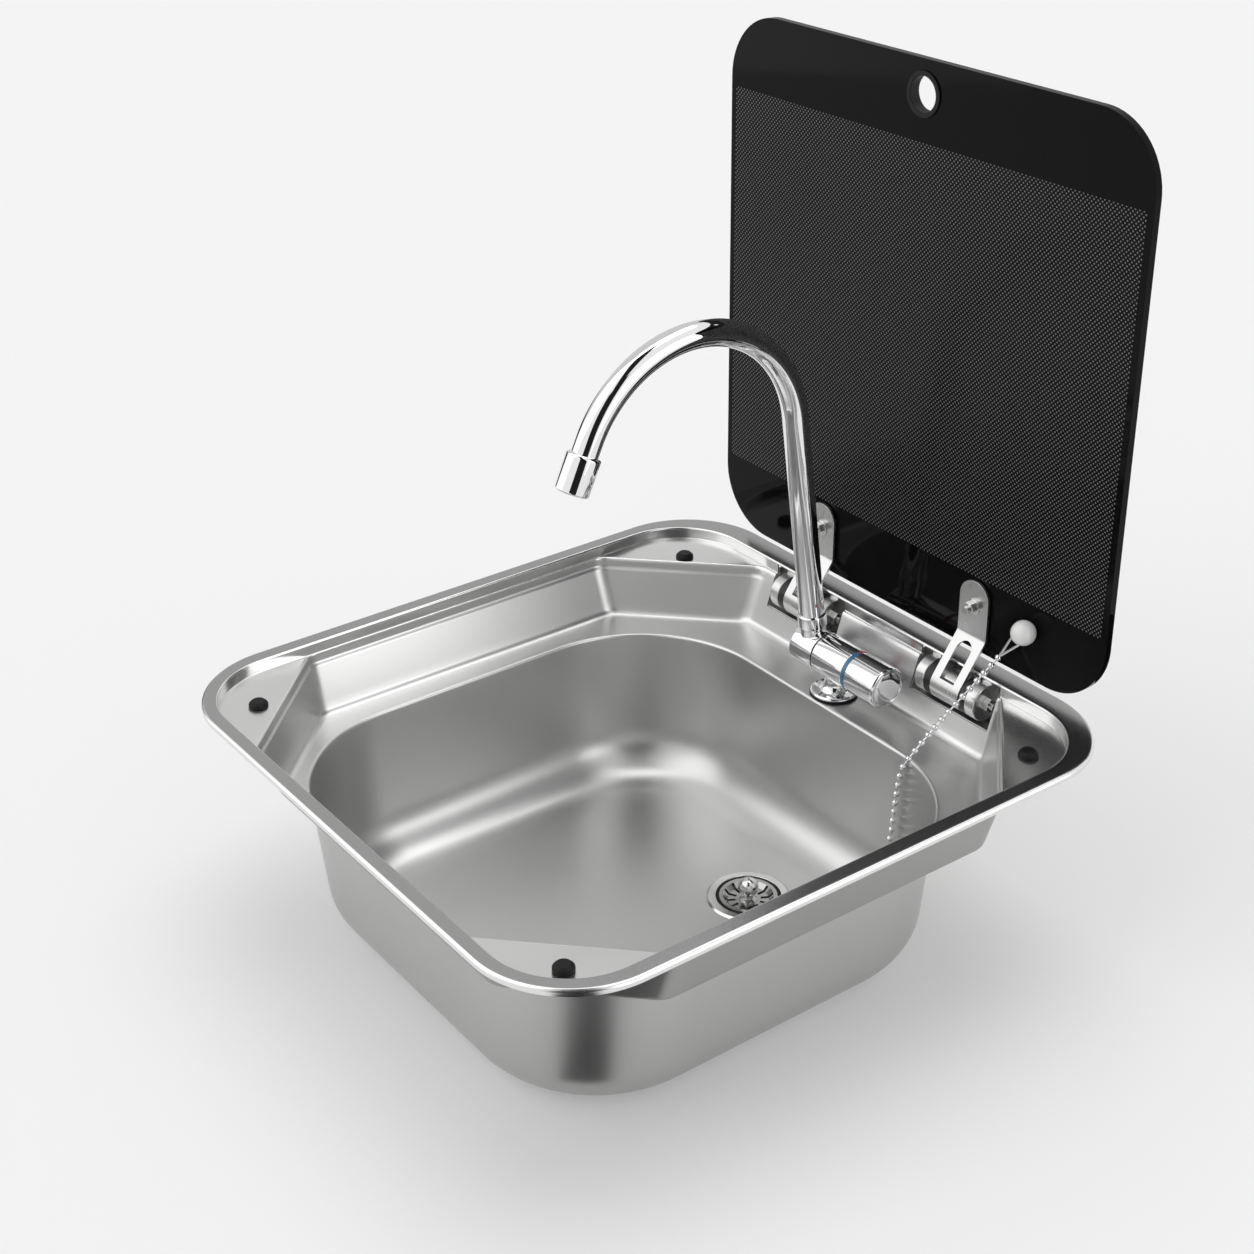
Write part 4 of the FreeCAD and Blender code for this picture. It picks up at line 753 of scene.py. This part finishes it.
# profile rows are radius, height and rounding
tap = {
    "y": 161.0, "axisZ": -18.0, "radius": 14.0, "edge": 0.5, "creaseDeg": 32,
    "body": {"left": -12.5, "right": 16.0, "bore": 10.0},
    "base": {"x": -4.0, "deckZ": -43.0, "profile": (
        (0, 1.5), (15.6, 1.5, 0.3), (15.6, 2.5, 0.6), (14.6, 3.5, 0.6), (10.0, 3.6, 1.2),
        (7.4, 6.4, 2.4), (6.6, 10.5, 2.0), (6.6, 13.1), (0, 13.1))},
    "knob": {"left": 19.05, "length": 26.0, "bore": 4.0, "grip": 3.0, "chamfer": (1.0, 1.2),
             "seat": (11.6, 11.2), "sunk": 0.7, "cap": 11.0, "capEdge": 0.2, "capDome": (8.0, 0.5, 3.0)},
    "pivot": {"left": -35.5, "length": 22.0, "nose": (2.2, 1.4), "spigot": 9.95, "spigotLength": 8.0,
              "boss": 8.4, "bossRow": 12.2, "bossLength": 18.0, "bossChamfer": (0.6, 0.4)},
    "spout": {"lean": 7.5, "collar": 9.4, "collarGap": 0.05, "collarLength": 9.0, "collarSeat": 4.0,
              "collarChamfer": (0.7, 0.5), "tube": 8.2, "tubeWall": 1.2, "tubeStart": 22.1, "riser": 169.0,
              "hook": 81.0, "hookDeg": 147.0, "tail": 28.0, "riserRows": 12, "hookRows": 64, "tailRows": 4,
              "columns": 64},
    "sleeve": {"radius": 10.5, "low": -20.6, "lowChamfer": (1.2, 1.2), "high": 2.8,
               "highChamfer": (0.9, 0.8)},
}


def alongX(x):
    # on the tap's axis, with local Z along +X
    return Matrix.Translation(vec(x, tap["y"], tap["axisZ"])) @ Matrix.Rotation(math.radians(90), 4, "Y")


def spoutFrame():
    middle = tap["pivot"]["left"] + tap["pivot"]["length"] / 2
    lean = Matrix.Rotation(math.radians(tap["spout"]["lean"]), 4, "X")
    return Matrix.Translation(vec(middle, tap["y"], tap["axisZ"])) @ lean


def chromePiece(obj, body, node):
    finishPiece(obj, body, "chromePlate", node)


def buildTapBody():
    r, edge, body = tap["radius"], tap["edge"], tap["body"]
    bore, length = body["bore"], body["right"] - body["left"]
    profile = [(bore, 0), (r, 0, edge), (r, length, edge), (bore, length)]
    chromePiece(lathe("tapBody", profile, alongX(body["left"]), closed=True), "basin", "tap_body")
    base = tap["base"]
    place = Matrix.Translation(vec(base["x"], tap["y"], base["deckZ"]))
    chromePiece(lathe("tapBase", base["profile"], place), "basin", "tap_base")


def buildKnob():
    r, knob = tap["radius"], tap["knob"]
    k, bore, (chamferIn, chamferUp) = knob["length"], knob["bore"], knob["chamfer"]
    seatTop, seatLow = knob["seat"]
    low = k - knob["sunk"]
    place = alongX(knob["left"])
    grip = lathe("tapKnob", [
        (bore, 0), (r, 0, tap["edge"]), (r, knob["grip"], 0.3), (r, k - chamferUp, 0.6),
        (r - chamferIn, k, 0.6), (seatTop, k, 0.4), (seatLow, low, 0.3), (bore, low)], place, closed=True)
    chromePiece(grip, "knob", "tap_knob")
    cap, (domeRadius, domeUp, domeRound) = knob["cap"], knob["capDome"]
    disc = lathe("knobCap", [
        (0, low), (cap, low, 0.2), (cap, k - knob["capEdge"], 0.5), (domeRadius, k + domeUp, domeRound),
        (0, k + knob["sunk"])], place)
    chromePiece(disc, "knob", "knob_cap")


def buildPivot():
    r, pivot = tap["radius"], tap["pivot"]
    noseIn, noseLong = pivot["nose"]
    spigot, end = pivot["spigot"], pivot["length"]
    tip = end + pivot["spigotLength"]
    body = lathe("spoutPivot", [
        (0, 0), (r - noseIn, 0, 1.2), (r, noseLong, 2.0), (r, end, tap["edge"]), (spigot, end, 0.2),
        (spigot, tip), (0, tip)], alongX(pivot["left"]))
    top, (chamferIn, chamferDown) = pivot["bossLength"], pivot["bossChamfer"]
    wide = pivot["boss"]
    boss = lathe("pivotBoss", [
        (0, 0), (wide, 0), (wide, pivot["bossRow"]), (wide, top - chamferDown, 0.5),
        (wide - chamferIn, top, 0.4), (0, top)], spoutFrame())
    union = body.modifiers.new("join", "BOOLEAN")
    union.operation = "UNION"
    union.solver = "EXACT"
    union.object = boss
    baked(body, "spoutPivot", angle=tap["creaseDeg"])
    bpy.data.objects.remove(boss)
    chromePiece(body, "pivot", "spout_pivot")


def spoutLine():
    # riser, hook and outlet in the spout's own frame, as (y, z) with the direction of travel
    p = tap["spout"]
    bend, radius = p["riser"], p["hook"]
    stops = []
    for k in range(p["riserRows"] + 1):
        stops.append(((0.0, lerp(p["tubeStart"], bend, k / p["riserRows"])), 0.0))
    for k in range(1, p["hookRows"] + 1):
        a = math.radians(p["hookDeg"] * k / p["hookRows"])
        stops.append(((-radius + radius * math.cos(a), bend + radius * math.sin(a)), a))
    (y, z), a = stops[-1]
    for k in range(1, p["tailRows"] + 1):
        d = p["tail"] * k / p["tailRows"]
        stops.append(((y - d * math.sin(a), z + d * math.cos(a)), a))
    return stops


def buildCollar(place):
    p = tap["spout"]
    low = tap["pivot"]["bossLength"] + p["collarGap"]
    high, seat = low + p["collarLength"], low + p["collarSeat"]
    wide, bore, (chamferIn, chamferDown) = p["collar"], p["tube"] + p["collarGap"], p["collarChamfer"]
    collar = lathe("spoutCollar", [
        (0, low), (wide, low, 0.4), (wide, high - chamferDown, 0.5), (wide - chamferIn, high, 0.3),
        (bore, high), (bore, seat), (0, seat)], place)
    chromePiece(collar, "spout", "spout_collar")


def buildTube(place, stops):
    p = tap["spout"]
    columns = p["columns"]
    points, faces = [], []
    # outer skin along the line, inner skin back again
    for radius, run in ((p["tube"], stops), (p["tube"] - p["tubeWall"], stops[::-1])):
        for (y, z), a in run:
            for s in range(columns):
                t = 2 * math.pi * s / columns
                side = Vector((0, math.cos(a), math.sin(a))) * (radius * math.cos(t))
                across = Vector((1, 0, 0)) * (radius * math.sin(t))
                points.append(place @ ((Vector((0, y, z)) + side + across) * mm))
    count = len(stops) * 2
    for r in range(count):
        a, b = r * columns, ((r + 1) % count) * columns
        for s in range(columns):
            n = (s + 1) % columns
            faces.append((a + s, a + n, b + n, b + s))
    chromePiece(linked("spoutTube", meshFrom("spoutTube", points, faces)), "spout", "spout_tube")


def buildSleeve(place, stops):
    (y, z), a = stops[-1]
    end = place @ Matrix.Translation(vec(0, y, z)) @ Matrix.Rotation(a, 4, "X")
    p, bore = tap["sleeve"], tap["spout"]["tube"]
    wide, low, high = p["radius"], p["low"], p["high"]
    lowIn, lowUp = p["lowChamfer"]
    highIn, highDown = p["highChamfer"]
    sleeve = lathe("aeratorSleeve", [
        (bore, low), (wide - lowIn, low, 0.6), (wide, low + lowUp, 0.8), (wide, high - highDown, 0.6),
        (wide - highIn, high, 0.5), (bore, high, 0.3)], end, closed=True)
    chromePiece(sleeve, "spout", "aerator_sleeve")


def buildSpout():
    place, stops = spoutFrame(), spoutLine()
    buildCollar(place)
    buildTube(place, stops)
    buildSleeve(place, stops)


buildTapBody()
buildKnob()
buildPivot()
buildSpout()
print("tap made")


# bead chain from the link on the lid to the plug

chain = {
    "route": (
        (106.0, 193.0, 21.0), (83.6, 141.0, -43.0), (82.6, 137.6, -58.0), (82.2, 136.0, -80.0),
        (82.4, 133.6, -102.0), (83.6, 124.5, -122.0), (86.8, 111.5, -127.5), (91.0, 92.0, -125.0)),
    "bead": 2.15, "pitch": 6.4, "wire": 0.6,
    "beadSegments": 20, "beadRings": 12, "wireSides": 10, "lineSteps": 24,
}


def chainCurve():
    data = bpy.data.curves.new("chainLine", "CURVE")
    data.dimensions = "3D"
    data.resolution_u = chain["lineSteps"]
    spline = data.splines.new("NURBS")
    spline.points.add(len(chain["route"]) - 1)
    for point, place in zip(spline.points, chain["route"]):
        point.co = (*vec(*place), 1)
    spline.order_u = 3
    spline.use_endpoint_u = True
    return linked("chainLine", data)


def beadTree():
    tree = bpy.data.node_groups.new("beadsAlongLine", "GeometryNodeTree")
    face = tree.interface
    face.new_socket("Geometry", in_out="INPUT", socket_type="NodeSocketGeometry")
    for label, value in (("Bead Radius", 0.002), ("Bead Pitch", 0.006), ("Wire Radius", 0.0005)):
        face.new_socket(label, in_out="INPUT", socket_type="NodeSocketFloat").default_value = value
    face.new_socket("Finish", in_out="INPUT", socket_type="NodeSocketMaterial")
    face.new_socket("Geometry", in_out="OUTPUT", socket_type="NodeSocketGeometry")
    inp, out = addNode(tree, "NodeGroupInput"), addNode(tree, "NodeGroupOutput")
    link = tree.links.new
    spaced = addNode(tree, "GeometryNodeResampleCurve", mode="LENGTH")
    link(inp.outputs["Geometry"], spaced.inputs["Curve"])
    link(inp.outputs["Bead Pitch"], spaced.inputs["Length"])
    bead = addNode(tree, "GeometryNodeMeshUVSphere")
    bead.inputs["Segments"].default_value = chain["beadSegments"]
    bead.inputs["Rings"].default_value = chain["beadRings"]
    link(inp.outputs["Bead Radius"], bead.inputs["Radius"])
    beads = addNode(tree, "GeometryNodeInstanceOnPoints")
    link(spaced.outputs["Curve"], beads.inputs["Points"])
    link(bead.outputs["Mesh"], beads.inputs["Instance"])
    circle = addNode(tree, "GeometryNodeCurvePrimitiveCircle")
    circle.inputs["Resolution"].default_value = chain["wireSides"]
    link(inp.outputs["Wire Radius"], circle.inputs["Radius"])
    wire = addNode(tree, "GeometryNodeCurveToMesh")
    wire.inputs["Fill Caps"].default_value = True
    link(spaced.outputs["Curve"], wire.inputs["Curve"])
    link(circle.outputs["Curve"], wire.inputs["Profile Curve"])
    both = addNode(tree, "GeometryNodeJoinGeometry")
    link(beads.outputs["Instances"], both.inputs["Geometry"])
    link(wire.outputs["Mesh"], both.inputs["Geometry"])
    shaded = addNode(tree, "GeometryNodeSetShadeSmooth")
    real = addNode(tree, "GeometryNodeRealizeInstances")
    paint = addNode(tree, "GeometryNodeSetMaterial")
    link(both.outputs["Geometry"], real.inputs["Geometry"])
    link(real.outputs["Geometry"], shaded.inputs["Geometry"])
    link(shaded.outputs["Geometry"], paint.inputs["Geometry"])
    link(inp.outputs["Finish"], paint.inputs["Material"])
    link(paint.outputs["Geometry"], out.inputs["Geometry"])
    return tree


def addTree(obj, tree, values):
    modifier = obj.modifiers.new("build", "NODES")
    modifier.node_group = tree
    for item in tree.interface.items_tree:
        if item.item_type == "SOCKET" and item.in_out == "INPUT" and item.name in values:
            modifier[item.identifier] = values[item.name]


def buildChain():
    line = chainCurve()
    bare = bpy.data.meshes.new_from_object(line.evaluated_get(bpy.context.evaluated_depsgraph_get()))
    path = [v.co.copy() for v in bare.vertices]
    bpy.data.meshes.remove(bare)
    addTree(line, beadTree(), {
        "Bead Radius": chain["bead"] * mm, "Bead Pitch": chain["pitch"] * mm,
        "Wire Radius": chain["wire"] * mm, "Finish": materials["chromePlate"]})
    piece = baked(line, "beadChain")
    finishPiece(piece, None, "chromePlate", "plug_chain")  # it hangs between two bodies and is attached to neither
    return piece, path


beadChain, chainPath = buildChain()


# pieces kept from the CAD with their edges broken: body, material, slot and width of the broken edge in mm

keptPieces = {
    "lid_glass": ("lid", "printedGlass", "black_glass", 0.5),
    "finger_grommet": ("lid", "blackRubber", "black_rubber", 0.4),
    "left_lid_bracket": ("lid", "brushedSteel", "polished_steel", 0.35),
    "right_lid_bracket": ("lid", "brushedSteel", "polished_steel", 0.35),
    "bracket_pads": ("lid", "blackRubber", "black_rubber", 0.2),
    "bracket_bolts": ("lid", "polishedSteel", "polished_steel", 0.3),
    "bracket_washers": ("lid", "polishedSteel", "polished_steel", 0.2),
    "bracket_nuts": ("lid", "polishedSteel", "polished_steel", 0.3),
    "chain_ball": ("lid", "whitePlastic", "white_plastic", 0.2),
    "chain_link": ("lid", "polishedSteel", "polished_steel", 0.1),
    "left_hinge_ears": ("basin", "brushedSteel", "polished_steel", 0.6),
    "right_hinge_ears": ("basin", "brushedSteel", "polished_steel", 0.6),
    "left_hinge_cover": ("basin", "basinSteel", "basin_steel", 0.3),
    "right_hinge_cover": ("basin", "basinSteel", "basin_steel", 0.3),
    "left_hinge_axle": ("basin", "polishedSteel", "polished_steel", 0.3),
    "right_hinge_axle": ("basin", "polishedSteel", "polished_steel", 0.3),
    "hinge_nuts": ("basin", "polishedSteel", "polished_steel", 0.3),
    "friction_washers": ("basin", "blackPlastic", "black_plastic", 0.2),
    "left_friction_bush": ("basin", "brushedSteel", "polished_steel", 0.3),
    "right_friction_bush": ("basin", "brushedSteel", "polished_steel", 0.3),
    "lid_bumpers": ("basin", "blackRubber", "black_rubber", 0.5),
    "drain_flange": ("basin", "polishedSteel", "polished_steel", 0.3),
    # the strainer takes the darker steel with painted shade
    "strainer_basket": ("strainer", "strainerShadedSteel", "polished_steel", 0.2),
    "strainer_seal": ("strainer", "blackRubber", "black_rubber", 0.4),
    "strainer_stem": ("strainer", "strainerShadedSteel", "polished_steel", 0.4),
    "strainer_knob": ("strainer", "polishedSteel", "polished_steel", 0.2),
    "tap_gasket": ("basin", "blackRubber", "black_rubber", 0.3),
    "cold_band": ("basin", "blueBand", "blue_plastic", 0.15),
    "hot_band": ("basin", "redBand", "red_plastic", 0.15),
    "aerator_insert": ("spout", "blackPlastic", "black_plastic", 0.2),
    "rim_gasket": ("basin", "blackRubber", "black_rubber", 0.3),
    "waste_gasket": ("basin", "blackRubber", "black_rubber", 0.3),
    "waste_locknut": ("basin", "blackPlastic", "black_plastic", 0.6),
    "waste_tailpiece": ("basin", "blackPlastic", "black_plastic", 0.5),
    "tap_shank": ("basin", "plainBrass", "brass", 0.4),
    "cold_inlet_tail": ("basin", "plainBrass", "brass", 0.3),
    "hot_inlet_tail": ("basin", "plainBrass", "brass", 0.3),
    "tap_washer": ("basin", "polishedSteel", "polished_steel", 0.2),
    "tap_locknut": ("basin", "plainBrass", "brass", 0.5),
    "sink_plug": ("basin", "blackRubber", "black_rubber", 0.8),
    "plug_eye": ("basin", "polishedSteel", "polished_steel", 0.1),
}
hiddenInside = {"mixing_cartridge": "plainBrass", "knob_spindle": "plainBrass", "pivot_seal": "blackRubber"}


def camel(name):
    words = name.split("_")
    return words[0] + "".join(w.capitalize() for w in words[1:])


for nodeName, (body, material, slotName, width) in keptPieces.items():
    piece = softened(nodeName, camel(nodeName), width)
    finishPiece(piece, body, material, nodeName)
for nodeName, material in hiddenInside.items():
    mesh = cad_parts[nodeName].data
    mesh.materials.clear()
    mesh.materials.append(materials[material])

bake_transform(beadChain)


# stage: pale floor, soft studio light, cards for the metal to mirror

# lengths in mm, floorSize in m
studio = {
    "floorZ": -144.2, "floorSize": 9.0, "wasteGap": 40.0, "floorColor": (0.94, 0.94, 0.94), "floorRough": 0.8,
    "floorGlow": 0.22, "backdrop": 0.92, "fill": 0.54, "darkColor": (0.02, 0.02, 0.02), "darkRough": 0.9,
    "suns": {
        "keyAbove": {"from": (-0.1, 0.2, 1.0), "spreadDeg": 50, "power": 0.95},
        "softFront": {"from": (-0.4, -0.7, 0.8), "spreadDeg": 60, "power": 0.55},
    },
}
# cards seen only in reflections: upright ones have two ends and two heights, and pale ones a strength
cards = {
    "cardBehindCamera": {"ends": ((1100, -1580), (1860, -470)), "heights": (-144, 2200)},
    "stripOverhead": {
        "corners": ((1290, -1430, 2200), (1750, -690, 2200), (260, 350, 2200), (-200, -390, 2200))},
    "cardFarLeft": {"ends": ((-2600, 300), (-2300, -900)), "heights": (-144, 1500)},
    "cardBehindLid": {"ends": ((-160, 216), (205, 216)), "heights": (18, 70)},
    # lies on the floor before the near corner
    "cornerRunner": {
        "corners": ((129, -166, -143.6), (157, -136, -143.6), (1750, -690, -143.6), (1290, -1430, -143.6))},
    "cardRight": {"ends": ((2100, -100), (1480, 1480)), "heights": (-144, 1250), "strength": 2.2},
    "cardFrontLeft": {"ends": ((-1750, -950), (-450, -1950)), "heights": (-144, 850), "strength": 1.4},
    # a grey screen high on the left, which the flange and the top of the spout mirror
    "screenLeft": {
        "corners": ((-1250, 2165, 450), (-2300, -1050, 450), (-700, -350, 2400), (-350, 740, 2400)),
        "strength": 0.66},
}


def seenRay(tree):
    # 1 for what the camera, metal and glass see
    path = addNode(tree, "ShaderNodeLightPath")
    value = path.outputs["Is Camera Ray"]
    for other in ("Is Glossy Ray", "Is Transmission Ray"):
        value = mathNode(tree, "MAXIMUM", value, path.outputs[other])
    return value


def mixShader(tree, factor, first, second, outputType):
    mix = addNode(tree, "ShaderNodeMixShader")
    for socket, value in zip(mix.inputs, (factor, first.outputs[0], second.outputs[0])):
        tree.links.new(value, socket)
    tree.links.new(mix.outputs[0], nodeOfType(tree, outputType).inputs["Surface"])


def stageMesh(name, points, faces, mat):
    mesh = bpy.data.meshes.new(name)
    mesh.from_pydata(points, [], faces)
    mesh.materials.append(mat)
    return linked(name, mesh)


def buildFloor():
    mat, tree, shader = newMaterial("paleFloor")
    setSockets(shader, color=studio["floorColor"], rough=studio["floorRough"], spec=0.0)
    glow = addNode(tree, "ShaderNodeEmission")
    glow.inputs["Strength"].default_value = studio["backdrop"]
    share = mathNode(tree, "MULTIPLY", seenRay(tree), studio["floorGlow"])
    mixShader(tree, share, shader, glow, "OUTPUT_MATERIAL")
    # the basin stands on the floor, and its waste goes down through an opening under the bowl
    half, gap, z = studio["floorSize"] / 2, studio["wasteGap"] * mm, studio["floorZ"] * mm
    centreX, centreY = (value * mm for value in basin["drain"])
    turns = ((-1, -1), (1, -1), (1, 1), (-1, 1))
    points = [(a * half, b * half, z) for a, b in turns]
    points += [(centreX + a * gap, centreY + b * gap, z) for a, b in turns]
    floor = stageMesh("floor", points, [(i, (i + 1) % 4, (i + 1) % 4 + 4, i + 4) for i in range(4)], mat)


def cardCorners(card):
    if "corners" in card:
        return card["corners"]
    (a, b), (low, high) = card["ends"], card["heights"]
    return (*a, low), (*b, low), (*b, high), (*a, high)


def buildCards():
    dark, _, shader = newMaterial("darkCard")
    setSockets(shader, color=studio["darkColor"], rough=studio["darkRough"], spec=0.0)
    for name, card in cards.items():
        mat = dark
        if "strength" in card:
            mat, _, shader = newMaterial(name)
            setSockets(shader, color=(0, 0, 0), spec=0.0)
            shader.inputs["Emission Color"].default_value = (1, 1, 1, 1)
            shader.inputs["Emission Strength"].default_value = card["strength"]
        piece = stageMesh(name, [tuple(vec(*p)) for p in cardCorners(card)], [(0, 1, 2, 3)], mat)
        piece.visible_camera = False
        piece.visible_diffuse = False
        piece.visible_shadow = False


def buildWorld():
    # what is seen and mirrored is the pale backdrop; what lights the part is the softer fill
    scene.world = bpy.data.worlds.new("studioWorld")
    scene.world.use_nodes = True
    tree = scene.world.node_tree
    fill = nodeOfType(tree, "BACKGROUND")
    seen = addNode(tree, "ShaderNodeBackground")
    for node, strength in ((fill, studio["fill"]), (seen, studio["backdrop"])):
        node.inputs["Color"].default_value = (1, 1, 1, 1)
        node.inputs["Strength"].default_value = strength
    mixShader(tree, seenRay(tree), fill, seen, "OUTPUT_WORLD")


def addSuns():
    for name, sun in studio["suns"].items():
        data = bpy.data.lights.new(name, "SUN")
        data.energy = sun["power"]
        data.angle = math.radians(sun["spreadDeg"])
        lamp = linked(name, data)
        lamp.matrix_world = Vector(sun["from"]).to_track_quat("Z", "Y").to_matrix().to_4x4()


buildFloor()
buildCards()
buildWorld()
addSuns()
print("stage lit:", len(cards), "cards")
